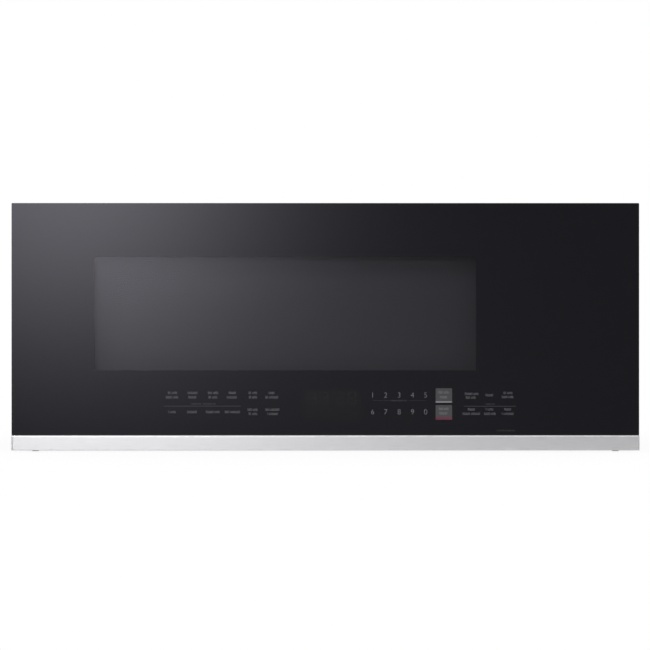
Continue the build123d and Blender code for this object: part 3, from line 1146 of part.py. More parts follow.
def make_latch_board():
    z = (HOOK_Z[0] - LATCH_BOARD_MARGIN, HOOK_Z[1] + HOOK_TALL + LATCH_BOARD_MARGIN)
    board = block(LATCH_BOARD_X, LATCH_BOARD_Y, z)
    back = LATCH_BOARD_Y[1] - LATCH_BOARD_WALL
    for hook in HOOK_Z:
        pocket_z = (hook - 2 * HOOK_BARB, hook - HOOK_BARB + HOOK_TALL + LATCH_LIFT + FIT)
        board -= block(LATCH_SLOT_X, (LATCH_BOARD_Y[0] - OVERRUN, back), pocket_z)
        ledge_y = (LATCH_BOARD_Y[0] + LATCH_BOARD_WALL, HOOK_TIP_Y - HOOK_HEAD_DEPTH - FIT)
        board += block(LATCH_SLOT_X, ledge_y, (pocket_z[0], hook - HOOK_BARB - LEDGE_GAP))
    for switch in SWITCH_Z:
        board -= bar_y(LATCH_X, grow((back, LATCH_BOARD_Y[1]), OVERRUN), switch, PLUNGER_RADIUS + FIT)
    PARTS["latch_board"] = board


def make_switches():
    x = (LATCH_BOARD_X[0], LATCH_BOARD_X[0] + SWITCH_LENGTH)
    y = (LATCH_BOARD_Y[1], LATCH_BOARD_Y[1] + SWITCH_DEPTH)
    plunger_y = (HOOK_TIP_Y + FIT, y[0] + PLUNGER_DEPTH)
    switches = []
    plungers = []
    for z in SWITCH_Z:
        switch = block(x, y, about(z, SWITCH_HEIGHT))
        hole = (y[0] - OVERRUN, plunger_y[1] + FIT)
        switches.append(switch - bar_y(LATCH_X, hole, z, PLUNGER_RADIUS + PIN_RUNNING_FIT))
        plungers.append(bar_y(LATCH_X, plunger_y, z, PLUNGER_RADIUS))
    PARTS["interlock_switches"] = group(switches)
    PARTS["switch_plungers"] = group(plungers)


# ---------------------------------------------------------------- door
def hinge_pockets():
    """Room in the door for the hinge tabs, from closed to fully open."""
    x = (FRAME_X[0] - OVERRUN, PIVOT[0] + TAB_HALF_WIDTH + TAB_POCKET_SIDE)
    y = (PIVOT[1] - TAB_HALF_WIDTH - TAB_POCKET_FRONT, DOOR_BACK + OVERRUN)
    return [
        block(x, y, (TRIM_TOP, LOWER_POCKET_TOP)),
        block(x, y, (UPPER_POCKET_BASE, FRAME_TOP + OVERRUN)),
    ]


def rear_edge_round():
    """What comes off the door's rear left edge so that it swings clear of the case."""
    centre = (FRAME_X[0] + FRAME_EDGE_ROUND, DOOR_BACK - FRAME_EDGE_ROUND)
    z = grow((TRIM_TOP, FRAME_TOP), OVERRUN)
    corner = block((FRAME_X[0] - OVERRUN, centre[0]), (centre[1], DOOR_BACK + OVERRUN), z)
    return corner - post(*centre, z, FRAME_EDGE_ROUND)


def make_door_glass():
    glass = block(GLASS_X, (GLASS_FRONT, GLASS_BACK), (TRIM_TOP, GLASS_TOP))
    PARTS["door_glass"] = fillet(glass.edges().filter_by(Axis.Y), GLASS_CORNER)


def trim_profile(x):
    """The strip's section, an inverted channel, over the span x."""
    y = (DOOR_FRONT, DOOR_FRONT + TRIM_DEPTH)
    z = (TRIM_BOTTOM, TRIM_TOP)
    trim = block(x, y, z)
    edge = trim.edges().filter_by(Axis.X).sort_by(Axis.Y)[0:2].sort_by(Axis.Z)[-1]
    return chamfer(edge, TRIM_CHAMFER)


def make_trim():
    y = (DOOR_FRONT, DOOR_FRONT + TRIM_DEPTH)
    x = grow(about(0, TRIM_WIDTH), -END_CAP)
    grip = (y[0] + TRIM_WALL, y[1] - TRIM_WEB)
    past_x = grow(x, OVERRUN)
    base = TRIM_BOTTOM - OVERRUN
    trim = trim_profile(x) - block(past_x, grip, (base, TRIM_TOP - TRIM_WEB))
    trim -= block(past_x, grow((grip[1], y[1]), OVERRUN), (base, TRIM_TOP - TRIM_LIP_HEIGHT))
    PARTS["door_trim"] = trim
    left_cap = trim_profile((x[0] - END_CAP, x[0]))
    right_cap = trim_profile((x[1], x[1] + END_CAP))
    PARTS["trim_end_caps"] = group([left_cap, right_cap])


def make_door_frame():
    z = (TRIM_TOP, FRAME_TOP)
    stile_x = (FRAME_X[0], PANEL_X[0] - FIT)
    skin = block(FRAME_X, (GLASS_BACK, SKIN_BACK), z)
    frame = skin + wall_ring(FRAME_X, (SKIN_BACK, COVER_FRONT), z, FRAME_WALL)
    frame += block(stile_x, (SKIN_BACK, COVER_FRONT), z)
    surround_x = grow(OPENING_X, FRAME_WALL)
    surround_z = grow(OPENING_Z, FRAME_WALL)
    frame += wall_ring(surround_x, (SKIN_BACK, PANEL_FRONT - SCREEN_SHEET), surround_z, FRAME_WALL)
    carrier_x = (stile_x[1], PANEL_X[1])
    carrier_z = (CONTROL_Z[1] + CONTROL_LAP + FIT, PANEL_Z[1])
    frame += wall_ring(carrier_x, (SKIN_BACK, PANEL_FRONT), carrier_z, FRAME_WALL)
    guide_x = grow(LATCH_KEY_X, 2 * FRAME_WALL)
    guide_y = (SKIN_BACK, LATCH_KEY_Y[1])
    spring_top = LATCH_KEY_Z[1] + SPRING_LENGTH
    frame += block(guide_x, (SKIN_BACK, LATCH_KEY_Y[0] - FIT), LATCH_KEY_Z)
    frame += block(guide_x, guide_y, (LATCH_KEY_Z[0] - 2 * FRAME_WALL, LATCH_KEY_Z[0] - FIT))
    frame += block(guide_x, guide_y, (spring_top, spring_top + 2 * FRAME_WALL))
    cuts = [
        block(OPENING_X, (GLASS_BACK - OVERRUN, PANEL_FRONT), OPENING_Z),
        block(CONTROL_X, grow((GLASS_BACK, SKIN_BACK), OVERRUN), CONTROL_Z),
        rear_edge_round(),
        post(*PIVOT, (LOWER_POCKET_TOP - OVERRUN, LOWER_PIN_Z[1] + FIT), BUSH_RADIUS),
        post(*PIVOT, (UPPER_PIN_Z[0] - FIT, UPPER_POCKET_BASE + OVERRUN), BUSH_RADIUS),
    ]
    PARTS["door_frame"] = frame - cuts - hinge_pockets()


def make_door_panel():
    panel = block(PANEL_X, (PANEL_FRONT, PANEL_BACK), PANEL_Z)
    panel += wall_ring(PANEL_X, (PANEL_BACK, PANEL_FRONT + CHOKE_DEPTH), PANEL_Z, CHOKE_PANEL_SHEET)
    panel -= block(OPENING_X, grow((PANEL_FRONT, PANEL_BACK), OVERRUN), OPENING_Z)
    PARTS["door_panel"] = panel

    screen_y = (PANEL_FRONT - SCREEN_SHEET, PANEL_FRONT)
    PARTS["door_screen"] = block(grow(OPENING_X, SCREEN_LAP), screen_y, grow(OPENING_Z, SCREEN_LAP))

    window_y = (PANEL_BACK, PANEL_BACK + INNER_WINDOW_SHEET)
    window_x = grow(OPENING_X, INNER_WINDOW_LAP)
    PARTS["inner_window"] = block(window_x, window_y, grow(OPENING_Z, INNER_WINDOW_LAP))


def make_rear_cover():
    cover = block(FRAME_X, (COVER_FRONT, DOOR_BACK), (TRIM_TOP, FRAME_TOP))
    lip_x = grow(OPENING_X, REAR_COVER)
    lip_z = grow(OPENING_Z, REAR_COVER)
    cover += block(lip_x, (PANEL_BACK + INNER_WINDOW_SHEET, COVER_FRONT), lip_z)
    cuts = [block(OPENING_X, (PANEL_BACK, DOOR_BACK + OVERRUN), OPENING_Z), rear_edge_round()]
    for hook in HOOK_Z:
        slot_z = (hook - HOOK_BARB - FIT, hook - HOOK_BARB + HOOK_TALL + FIT)
        slot_x = grow(LATCH_KEY_X, HOOK_SLOT_SIDE)
        cuts.append(block(slot_x, grow((COVER_FRONT, DOOR_BACK), OVERRUN), slot_z))
    PARTS["door_rear_cover"] = cover - cuts - hinge_pockets()


def make_controls():
    film_y = (GLASS_BACK, GLASS_BACK + TOUCH_FILM)
    film = block(grow(CONTROL_X, -FIT), film_y, grow(CONTROL_Z, -FIT))
    film -= block(grow(DISPLAY_X, FIT), grow(film_y, OVERRUN), grow(DISPLAY_Z, FIT))
    display = block(DISPLAY_X, (GLASS_BACK, SKIN_BACK), DISPLAY_Z)
    PARTS["display_and_touch_film"] = group([film, display])

    board_y = (SKIN_BACK, SKIN_BACK + BOARD_THICKNESS)
    board = block(grow(CONTROL_X, CONTROL_LAP), board_y, grow(CONTROL_Z, CONTROL_LAP))
    chip_y = (board_y[1], board_y[1] + BOARD_CHIP_SIZE[1])
    chip_z = about(sum(CONTROL_Z) / 2, BOARD_CHIP_SIZE[2])
    pitch = (CONTROL_X[1] - CONTROL_X[0]) / BOARD_CHIPS
    for i in range(BOARD_CHIPS):
        x = about(CONTROL_X[0] + pitch * (i + 0.5), BOARD_CHIP_SIZE[0])
        board += block(x, chip_y, chip_z)
    PARTS["control_board"] = board


# ---------------------------------------------------------------- build and write
def make_all():
    make_front_plate()
    make_top_panel()
    make_side_panels()
    make_base_plate()
    make_rear_panel()
    make_feet()
    make_wall_plate()
    make_top_fittings()
    make_cavity()
    make_waveguide()
    make_steam_duct()
    make_turntable_drive()
    make_tray()
    make_roller_ring()
    make_magnetron()
    make_transformer()
    make_high_voltage_parts()
    make_cooling_fan()
    make_blower_housing()
    make_blower_motor()
    make_blower_wheels()
    make_grease_filters()
    make_top_grille()
    make_exhaust_cover()
    make_lamps()
    make_circuit_boards()
    make_thermal_cutouts()
    make_hinge()
    make_screws()
    make_latch_key()
    make_latch_board()
    make_switches()
    make_door_glass()
    make_trim()
    make_door_frame()
    make_door_panel()
    make_rear_cover()
    make_controls()


make_all()
os.makedirs("parts", exist_ok=True)
for name, shape in PARTS.items():
    export_step(shape, f"parts/{name}.step")
print(len(PARTS), "nodes")
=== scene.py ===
import bmesh
import bpy
import json
import math
from mathutils import Matrix, Vector


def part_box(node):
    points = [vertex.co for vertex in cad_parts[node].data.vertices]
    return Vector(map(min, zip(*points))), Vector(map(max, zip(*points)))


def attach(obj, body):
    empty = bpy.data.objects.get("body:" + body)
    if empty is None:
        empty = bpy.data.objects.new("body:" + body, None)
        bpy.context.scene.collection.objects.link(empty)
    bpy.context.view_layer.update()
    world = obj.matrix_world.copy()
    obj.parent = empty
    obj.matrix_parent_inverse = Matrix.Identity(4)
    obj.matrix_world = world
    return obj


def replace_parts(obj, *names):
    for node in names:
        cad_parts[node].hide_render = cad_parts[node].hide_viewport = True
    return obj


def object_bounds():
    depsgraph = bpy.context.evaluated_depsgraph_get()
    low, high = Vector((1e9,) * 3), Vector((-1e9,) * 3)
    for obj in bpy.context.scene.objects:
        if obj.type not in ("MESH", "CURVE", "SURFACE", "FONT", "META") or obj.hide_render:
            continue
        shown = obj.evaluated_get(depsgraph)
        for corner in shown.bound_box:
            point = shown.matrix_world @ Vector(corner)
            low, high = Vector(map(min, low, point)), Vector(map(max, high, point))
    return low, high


# The looks of an over-the-range microwave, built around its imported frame. Metres, +Z up.
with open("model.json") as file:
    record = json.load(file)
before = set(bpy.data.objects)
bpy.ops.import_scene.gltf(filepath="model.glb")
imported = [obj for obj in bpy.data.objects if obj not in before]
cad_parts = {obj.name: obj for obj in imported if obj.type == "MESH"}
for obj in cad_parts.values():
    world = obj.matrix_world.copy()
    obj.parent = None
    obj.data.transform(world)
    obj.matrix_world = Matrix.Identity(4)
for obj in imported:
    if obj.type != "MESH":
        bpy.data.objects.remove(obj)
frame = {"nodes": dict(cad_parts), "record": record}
cad_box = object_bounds()
nodes = frame["nodes"]

MM = 0.001
PX = 1.2072 * MM                      # one pixel of the photograph at the door's front
PHOTO_SIZE = 650                      # its width and height in pixels
PHOTO_CENTRE_X = 325.35
STRIP_FOOT_ROW = 450.5
STRIP_FOOT_Z = 2.7 * MM


def photo_x(column):
    return (column - PHOTO_CENTRE_X) * PX


def photo_z(row):
    return (STRIP_FOOT_ROW - row) * PX + STRIP_FOOT_Z


# ---------------------------------------------------------------- finishes
WHITE = (1, 1, 1, 1)


def add_node(owner, kind, inputs=(), **settings):
    """A shader node of a finish or the world. An input is a value, or a socket that is linked to it."""
    tree = owner.node_tree
    node = tree.nodes.new("ShaderNode" + kind)
    for name, value in settings.items():
        setattr(node, name, value)
    for socket, value in dict(inputs).items():
        if isinstance(value, bpy.types.NodeSocket):
            tree.links.new(value, node.inputs[socket])
        else:
            node.inputs[socket].default_value = value
    return node


def link(finish, value, socket):
    """Feeds a socket of the finish's shader."""
    finish.node_tree.links.new(value, finish.node_tree.nodes["shader"].inputs[socket])


def set_surface(owner, shader):
    owner.node_tree.links.new(shader, owner.node_tree.nodes["output"].inputs["Surface"])


def new_finish(name, colour, roughness, metallic=0.0, **sockets):
    """A material of one Principled shader with its plain values on its own sockets."""
    finish = bpy.data.materials.new(name)
    finish.use_nodes = True
    finish.node_tree.nodes.clear()
    values = {"Base Color": (*colour, 1), "Roughness": roughness, "Metallic": metallic}
    values.update({socket.replace("_", " "): value for socket, value in sockets.items()})
    shader = add_node(finish, "BsdfPrincipled", values, name="shader")
    add_node(finish, "OutputMaterial", {"Surface": shader.outputs["BSDF"]}, name="output")
    return finish


def place(finish, stretch=(1, 1, 1)):
    """The piece's own coordinates, stretched."""
    coords = add_node(finish, "TexCoord").outputs["Object"]
    return add_node(finish, "Mapping", {"Vector": coords, "Scale": stretch}).outputs["Vector"]


def noise(finish, scale, stretch=(1, 1, 1), detail=3.0):
    inputs = {"Vector": place(finish, stretch), "Scale": scale, "Detail": detail}
    return add_node(finish, "TexNoise", inputs).outputs["Fac"]


def cells(finish, scale, feature="F1", output="Distance", stretch=(1, 1, 1)):
    inputs = {"Vector": place(finish, stretch), "Scale": scale}
    return add_node(finish, "TexVoronoi", inputs, feature=feature).outputs[output]


def bands(finish, scale, direction, distortion, detail_scale):
    inputs = {
        "Vector": place(finish), "Scale": scale, "Distortion": distortion, "Detail Scale": detail_scale,
    }
    return add_node(finish, "TexWave", inputs, wave_type="BANDS", bands_direction=direction).outputs["Fac"]


def maths(owner, operation, *values):
    """One Math node on numbers and sockets."""
    return add_node(owner, "Math", enumerate(values), operation=operation).outputs[0]


def vector_maths(finish, operation, *values):
    return add_node(finish, "VectorMath", enumerate(values), operation=operation).outputs


def spread(finish, value, low, high, start=0.3, end=0.7):
    """A pattern's value moved into the range from low to high."""
    inputs = {"Value": value, "From Min": start, "From Max": end, "To Min": low, "To Max": high}
    return add_node(finish, "MapRange", inputs).outputs["Result"]


def mix_shaders(owner, share, first, second):
    return add_node(owner, "MixShader", {0: share, 1: first, 2: second}).outputs[0]


def scaled(colour, amount):
    return tuple(min(1.0, channel * amount) for channel in colour)


def colour_by(finish, value, first, second):
    """The finish's colour, between two by a pattern's value from 0 to 1."""
    inputs = {0: value, 6: (*first, 1), 7: (*second, 1)}
    link(finish, add_node(finish, "Mix", inputs, data_type="RGBA").outputs[2], "Base Color")


def shade_by(finish, value, colour, low, high):
    """The finish's colour, between two strengths of itself by a pattern's value from 0 to 1."""
    colour_by(finish, value, scaled(colour, low), scaled(colour, high))


def gloss_by(finish, value, low, high, start=0.3, end=0.7):
    """The finish's roughness, from low to high over a pattern's range."""
    link(finish, spread(finish, value, low, high, start, end), "Roughness")


def raise_surface(finish, height, strength, depth):
    """Bump on the finish's shader, from a pattern's value and a depth in metres."""
    bump = add_node(finish, "Bump", {"Height": height, "Strength": strength, "Distance": depth})
    link(finish, bump.outputs["Normal"], "Normal")


def moulded_plastic(name, colour, roughness, grain=900.0, depth=0.00006):
    """Moulded plastic: a fine spark-eroded grain and faint flow marks."""
    finish = new_finish(name, colour, roughness)
    shade_by(finish, spread(finish, noise(finish, 9.0, detail=4.0), 0, 1), colour, 0.97, 1.03)
    gloss_by(finish, noise(finish, 60.0), roughness - 0.015, roughness + 0.02)
    raise_surface(finish, noise(finish, grain, detail=2.0), 0.35, depth)
    return finish


def sheet_paint(name, colour, roughness):
    """Baked paint on sheet steel: fine orange peel, with slight handling marks in its gloss."""
    finish = new_finish(name, colour, roughness)
    shade_by(finish, spread(finish, noise(finish, 5.0, detail=5.0), 0, 1), colour, 0.98, 1.02)
    gloss_by(finish, noise(finish, 35.0, detail=6.0), roughness - 0.006, roughness + 0.008)
    raise_surface(finish, noise(finish, 1400.0, detail=2.0), 0.3, 0.00005)
    return finish


def brushed_metal(name, colour, roughness, along="X"):
    """Metal with a fine grain that runs along one axis."""
    finish = new_finish(name, colour, roughness, 1.0)
    grain = noise(finish, 2600.0, {"X": (0.02, 1, 1), "Y": (1, 0.02, 1)}[along], 2.0)
    shade_by(finish, spread(finish, grain, 0, 1), colour, 0.93, 1.03)
    gloss_by(finish, grain, roughness - 0.05, roughness + 0.07)
    raise_surface(finish, grain, 0.06, 0.00002)
    return finish


def zinc_plate(name, colour, roughness):
    """Zinc-coated sheet: crystals a few millimetres across, each a little different."""
    finish = new_finish(name, colour, roughness, 1.0)
    crystals = add_node(finish, "SeparateColor", {0: cells(finish, 240.0, output="Color")}).outputs
    shade_by(finish, crystals[0], colour, 0.94, 1.05)
    gloss_by(finish, crystals[1], roughness - 0.04, roughness + 0.06, 0.0, 1.0)
    raise_surface(finish, noise(finish, 420.0), 0.15, 0.00005)
    return finish


def speckled_enamel(name, colour, roughness):
    """Baked enamel with a fine darker speckle and a soft orange peel."""
    finish = new_finish(name, colour, roughness, Coat_Weight=0.25, Coat_Roughness=0.15)
    shade_by(finish, spread(finish, cells(finish, 620.0), 0, 1, 0.12, 0.3), colour, 0.5, 1.0)
    gloss_by(finish, noise(finish, 25.0), roughness - 0.02, roughness + 0.03)
    raise_surface(finish, noise(finish, 300.0, detail=1.0), 0.08, 0.00008)
    return finish


GLASS_INDEX = 1.5      # inverted on a pane's far face, because rays go straight through


def see_through(name, tint, gloss_roughness, back_gloss):
    """Thin glass or clear plastic: a tint that rays pass straight through, under a mirror."""
    finish = new_finish(name, tint, gloss_roughness)
    finish.node_tree.nodes.remove(finish.node_tree.nodes["shader"])
    clear = add_node(finish, "BsdfTransparent", {"Color": (*tint, 1)})
    mirror = add_node(finish, "BsdfGlossy", {"Color": WHITE, "Roughness": gloss_roughness}, name="shader")
    far_face = add_node(finish, "NewGeometry").outputs["Backfacing"]
    inverted = maths(finish, "MULTIPLY", far_face, 1 / GLASS_INDEX - GLASS_INDEX)
    fresnel = add_node(finish, "Fresnel", {"IOR": maths(finish, "ADD", inverted, GLASS_INDEX)})
    share = maths(finish, "ADD", maths(finish, "MULTIPLY", far_face, back_gloss - 1.0), 1.0)
    share = maths(finish, "MULTIPLY", fresnel.outputs[0], share)
    set_surface(finish, mix_shaders(finish, share, clear.outputs[0], mirror.outputs[0]))
    return finish


def inside_box(finish, low, high, soft):
    """1 where a front-facing point lies between two corners, 0 elsewhere, with an edge as soft as asked."""
    here = add_node(finish, "SeparateXYZ", {0: place(finish)}).outputs
    inside = []
    for axis, first, last in (("X", low[0], high[0]), ("Z", low[1], high[1])):
        middle, half = (first + last) / 2, (last - first) / 2
        offset = maths(finish, "ABSOLUTE", maths(finish, "SUBTRACT", here[axis], middle))
        inside.append(spread(finish, offset, 1, 0, half, half + soft))
    return maths(finish, "MINIMUM", *inside)


def lay_over(finish, mask, colour, roughness):
    """Covers a finish with an opaque one where the mask is 1."""
    under = finish.node_tree.nodes["output"].inputs["Surface"].links[0].from_socket
    cover = add_node(finish, "BsdfPrincipled", {"Base Color": (*colour, 1), "Roughness": roughness})
    set_surface(finish, mix_shaders(finish, mask, under, cover.outputs[0]))


def smears(finish, low, high):
    """Faint wipe marks in a pane's gloss."""
    gloss_by(finish, noise(finish, 7.0, (1, 1, 3), 6.0), low, high)


def perforated(name, colour, painted_hole_shade, pitch, radius):
    """Painted sheet with staggered rows of fine holes, seen from the front; the holes are filled with a dark
    colour, painted shade for the dark space behind them.
    """
    finish = new_finish(name, colour, 0.45)
    rows = pitch * math.sqrt(3)
    distances = []
    for offset in (0.0, 0.5):
        hole = vector_maths(
            finish, "MULTIPLY_ADD", place(finish), (1 / pitch, 0, 1 / rows), (offset, 0, offset))[0]
        hole = vector_maths(finish, "WRAP", hole, (0.5, 0.5, 0.5), (-0.5, -0.5, -0.5))[0]
        hole = vector_maths(finish, "MULTIPLY", hole, (pitch, 0, rows))[0]
        distances.append(vector_maths(finish, "LENGTH", hole)["Value"])
    solid = spread(finish, maths(finish, "MINIMUM", *distances), 0, 1, radius * 0.9, radius * 1.1)
    # The holes get a dark colour: painted shade standing in for the unlit space behind the sheet.
    colour_by(finish, solid, painted_hole_shade, colour)
    gloss_by(finish, solid, 0.8, 0.5, 0, 1)
    raise_surface(finish, solid, 0.1, 0.0001)
    return finish


def board_finish(name, colour):
    """Circuit board: a green mask over copper tracks."""
    finish = new_finish(name, colour, 0.4)
    tracks = spread(finish, cells(finish, 140.0, feature="DISTANCE_TO_EDGE"), 1, 0, 0.04, 0.07)
    shade_by(finish, tracks, colour, 1.0, 2.0)
    raise_surface(finish, tracks, 0.4, 0.0001)
    return finish


def wound_wire(name, colour, wire):
    """Enamelled wire laid in close turns, darkened between them as painted shade in the grooves."""
    finish = new_finish(name, colour, 0.3, 0.9)
    turns = bands(finish, math.pi / (10 * wire), "Z", 0.4, 40.0)
    # Painted shade: the colour falls to a quarter of itself in the grooves between turns.
    shade_by(finish, turns, colour, 0.25, 1.0)
    raise_surface(finish, turns, 0.9, wire / 2)
    return finish


def laminated_steel(name, colour):
    """A stack of thin painted steel sheets."""
    finish = new_finish(name, colour, 0.5, 0.3)
    sheets = bands(finish, 220.0, "Y", 0.2, 30.0)
    shade_by(finish, sheets, colour, 0.5, 1.6)
    raise_surface(finish, sheets, 0.5, 0.0003)
    return finish


def pellets(name, colour):
    """Charcoal granules behind a thin scrim, each lighter at its middle and darker towards its rim: painted
    light on the granules' crowns and painted shade in the gaps between them.
    """
    finish = new_finish(name, colour, 0.9)
    granules_and_painted_shade = cells(finish, 420.0)
    # Painted light and shade: each granule's colour runs from 1.8 times at its middle to 0.3 times at its
    # rim.
    shade_by(finish, granules_and_painted_shade, colour, 1.8, 0.3)
    raise_surface(finish, granules_and_painted_shade, 1.0, 0.0012)
    return finish


def pressed_mica(name, colour):
    """Pressed mica sheet with pale flakes."""
    finish = new_finish(name, colour, 0.5)
    flakes = noise(finish, 180.0, (1, 1, 2), 6.0)
    shade_by(finish, spread(finish, flakes, 0, 1), colour, 0.75, 1.2)
    raise_surface(finish, flakes, 0.2, 0.0001)
    return finish


def frosted_lens(name, colour):
    """Frosted lens plastic with a stipple that spreads the lamp's light."""
    finish = new_finish(name, colour, 0.35, Transmission_Weight=0.35)
    raise_surface(finish, cells(finish, 700.0), 0.5, 0.0003)
    gloss_by(finish, noise(finish, 50.0), 0.28, 0.42)
    return finish


def woven_mat(name):
    """The layered aluminium wool of a grease filter: bright strands over gaps painted dark, as painted shade
    in the depth of the mat.
    """
    finish = new_finish(name, (0.3, 0.3, 0.31), 0.45, 1.0)
    strands = cells(finish, 420.0, feature="DISTANCE_TO_EDGE", stretch=(0.6, 1, 1))
    strands_over_gap_shade = spread(finish, strands, 1, 0, 0.05, 0.2)
    # The dark colour between strands is painted shade for the mat's depth.
    colour_by(finish, strands_over_gap_shade, (0.05, 0.05, 0.052), (0.62, 0.63, 0.64))
    raise_surface(finish, strands_over_gap_shade, 0.8, 0.0008)
    return finish


PANE_SMEARS = (0.012, 0.03)
door_pane = see_through("smoked_pane", (0.76, 0.76, 0.775), 0.02, 0.42)
smears(door_pane, *PANE_SMEARS)
clear_plastic = see_through("clear_plastic", (0.93, 0.95, 0.95), 0.05, 0.5)
smears(clear_plastic, 0.03, 0.09)
tray_glass = see_through("tray_glass", (0.93, 0.965, 0.955), 0.04, 0.8)
smears(tray_glass, 0.03, 0.08)
black_plastic = moulded_plastic("black_plastic", (0.022, 0.022, 0.024), 0.42)
white_plastic = moulded_plastic("white_plastic", (0.78, 0.78, 0.76), 0.38)
case_paint = sheet_paint("case_paint", (0.026, 0.026, 0.028), 0.4)
black_steel = sheet_paint("black_steel", (0.03, 0.03, 0.032), 0.35)
zinc_steel = zinc_plate("zinc_steel", (0.52, 0.53, 0.55), 0.5)
cavity_enamel = speckled_enamel("cavity_enamel", (0.45, 0.45, 0.45), 0.32)
bright_aluminium = brushed_metal("bright_aluminium", (0.78, 0.79, 0.80), 0.3)
filter_mat = woven_mat("filter_mat")
lamp_lens = frosted_lens("lamp_lens", (0.85, 0.87, 0.86))
SCREEN_HOLES = (1.7 * MM, 0.5 * MM)      # pitch and radius

SLOT_FINISH = {
    "black_glass": door_pane,
    "clear_glass": clear_plastic,
    "silver_trim": brushed_metal("silver_strip", (0.580, 0.580, 0.585), 0.36),
    "black_plastic": black_plastic,
    "grey_plastic": moulded_plastic("grey_plastic", (0.42, 0.42, 0.43), 0.45),
    "white_plastic": white_plastic,
    "case_paint": case_paint,
    "cavity_enamel": cavity_enamel,
    "black_steel": black_steel,
    "zinc_steel": zinc_steel,
    "bare_aluminium": brushed_metal("mill_aluminium", (0.74, 0.75, 0.77), 0.34, "Y"),
    "copper_winding": wound_wire("copper_winding", (0.62, 0.26, 0.10), 1.2 * MM),
    "board": board_finish("circuit_board", (0.02, 0.10, 0.045)),
    "mica": pressed_mica("mica_sheet", (0.52, 0.47, 0.36)),
    "charcoal": pellets("charcoal_mat", (0.045, 0.045, 0.045)),
    "rubber": moulded_plastic("black_rubber", (0.02, 0.02, 0.02), 0.7, grain=1500.0),
}
NODE_FINISH = {
    # The screen's dark hole colour is painted shade for the space behind its holes.
    "door_screen": perforated("screen_sheet", (0.0375, 0.0366, 0.0420), (0.006, 0.006, 0.006), *SCREEN_HOLES),
    "transformer_core": laminated_steel("core_laminations", (0.05, 0.045, 0.042)),
    "cooktop_lamp_lenses": lamp_lens,
    "lamps": lamp_lens,
    "exhaust_cover": zinc_plate("dull_zinc", (0.27, 0.275, 0.285), 0.62),
    "glass_turntable": tray_glass,
}
slot_of = {row["node"]: row["material_slot"] for row in frame["record"]["subparts"]}
for name, slot in slot_of.items():
    finishes = nodes[name].data.materials
    finishes.clear()
    finishes.append(NODE_FINISH.get(name, SLOT_FINISH[slot]))


# ---------------------------------------------------------------- shapes used all over
LAP = 0.1 * MM              # how far a small piece is let into what carries it


def only(parts, kind):
    """The faces, edges or points among what an operator made."""
    return [part for part in parts if isinstance(part, kind)]


def new_in(parts, before):
    return [part for part in parts if part not in before]


def shift(shape, grown, along):
    """Moves the points that an extrusion made, and gives what it made."""
    bmesh.ops.translate(shape, vec=along, verts=only(grown["geom"], bmesh.types.BMVert))
    return grown["geom"]


def draw_out(shape, faces, along):
    """Extrudes faces along a direction, and gives what was made."""
    return shift(shape, bmesh.ops.extrude_face_region(shape, geom=faces), along)


def bevel(shape, parts, offset, segments, affect="EDGES", clamp=False):
    bmesh.ops.bevel(
        shape, geom=parts, offset=offset, segments=segments, clamp_overlap=clamp,
        affect=affect, profile=0.5, material=-1,
    )


def add_prism(shape, section, along):
    """A flat section drawn out along a direction."""
    draw_out(shape, [shape.faces.new([shape.verts.new(point) for point in section])], along)


def add_turned(shape, profile, at, steps):
    """A profile of (radius, height) points turned round the local Z axis and put in place by a matrix."""
    before = set(shape.verts)
    verts = [shape.verts.new((radius, 0, height)) for radius, height in profile]
    edges = [shape.edges.new(pair) for pair in zip(verts, verts[1:])]
    bmesh.ops.spin(
        shape, geom=verts + edges, cent=(0, 0, 0), axis=(0, 0, 1),
        angle=math.tau, steps=steps, use_merge=True,
    )
    bmesh.ops.remove_doubles(shape, verts=new_in(shape.verts, before), dist=1e-6)
    bmesh.ops.transform(shape, matrix=at, verts=new_in(shape.verts, before))


def add_outline(shape, x, z, y, radius, segments=6):
    """A flat rectangle facing the front with rounded corners."""
    corners = ((x[0], z[0]), (x[1], z[0]), (x[1], z[1]), (x[0], z[1]))
    verts = [shape.verts.new((a, y, b)) for a, b in corners]
    shape.faces.new(verts)
    if radius:
        bevel(shape, verts, radius, segments, "VERTICES")


def add_plate(shape, x, z, y, radius=0.0, segments=4):
    """A thin plate between two depths, with rounded corners."""
    before = set(shape.faces)
    add_outline(shape, x, z, y[0], radius, segments)
    draw_out(shape, new_in(shape.faces, before), (0, y[1] - y[0], 0))


def make_piece(name, shape, finish, body, smooth=None):
    """Turns a bmesh into a named piece that rides on a body."""
    bmesh.ops.recalc_face_normals(shape, faces=shape.faces)
    mesh = bpy.data.meshes.new(name)
    shape.to_mesh(mesh)
    shape.free()
    mesh.materials.append(finish)
    if smooth:
        mesh.shade_smooth()
        mesh.set_sharp_from_angle(angle=math.radians(smooth))
    piece = bpy.data.objects.new(name, mesh)
    bpy.context.scene.collection.objects.link(piece)
    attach(piece, body)
    return piece


# ---------------------------------------------------------------- door front
pane_low, pane_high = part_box("door_glass")
PRINT_Y = (pane_high.y - 0.25 * MM, pane_high.y - 0.12 * MM)       # enamel on the pane's back
LEGEND_Y = (pane_low.y - 0.05 * MM, pane_low.y + 0.02 * MM)        # marks fired on the pane's front
UPPER_MARK = (0, LEGEND_Y[0] - LEGEND_Y[1], 0)                     # lifts a mark onto another one
WINDOW_X = (photo_x(94.3), photo_x(475.9))
WINDOW_Z = (photo_z(370.2), photo_z(257.2))
WINDOW_CORNER = 2.4 * MM
PRINT_MARGIN = 0.05 * MM
PRINT_CORNER = 1.0 * MM
PRINT_EDGE = 0.3 * MM
GROUND_EDGE = 0.3 * MM
SHARP_EDGE = 0.01 * MM
PANE_BLACK = (0.0048, 0.0046, 0.0061)


def grown_by(span, margin):
    return (span[0] - margin, span[1] + margin)


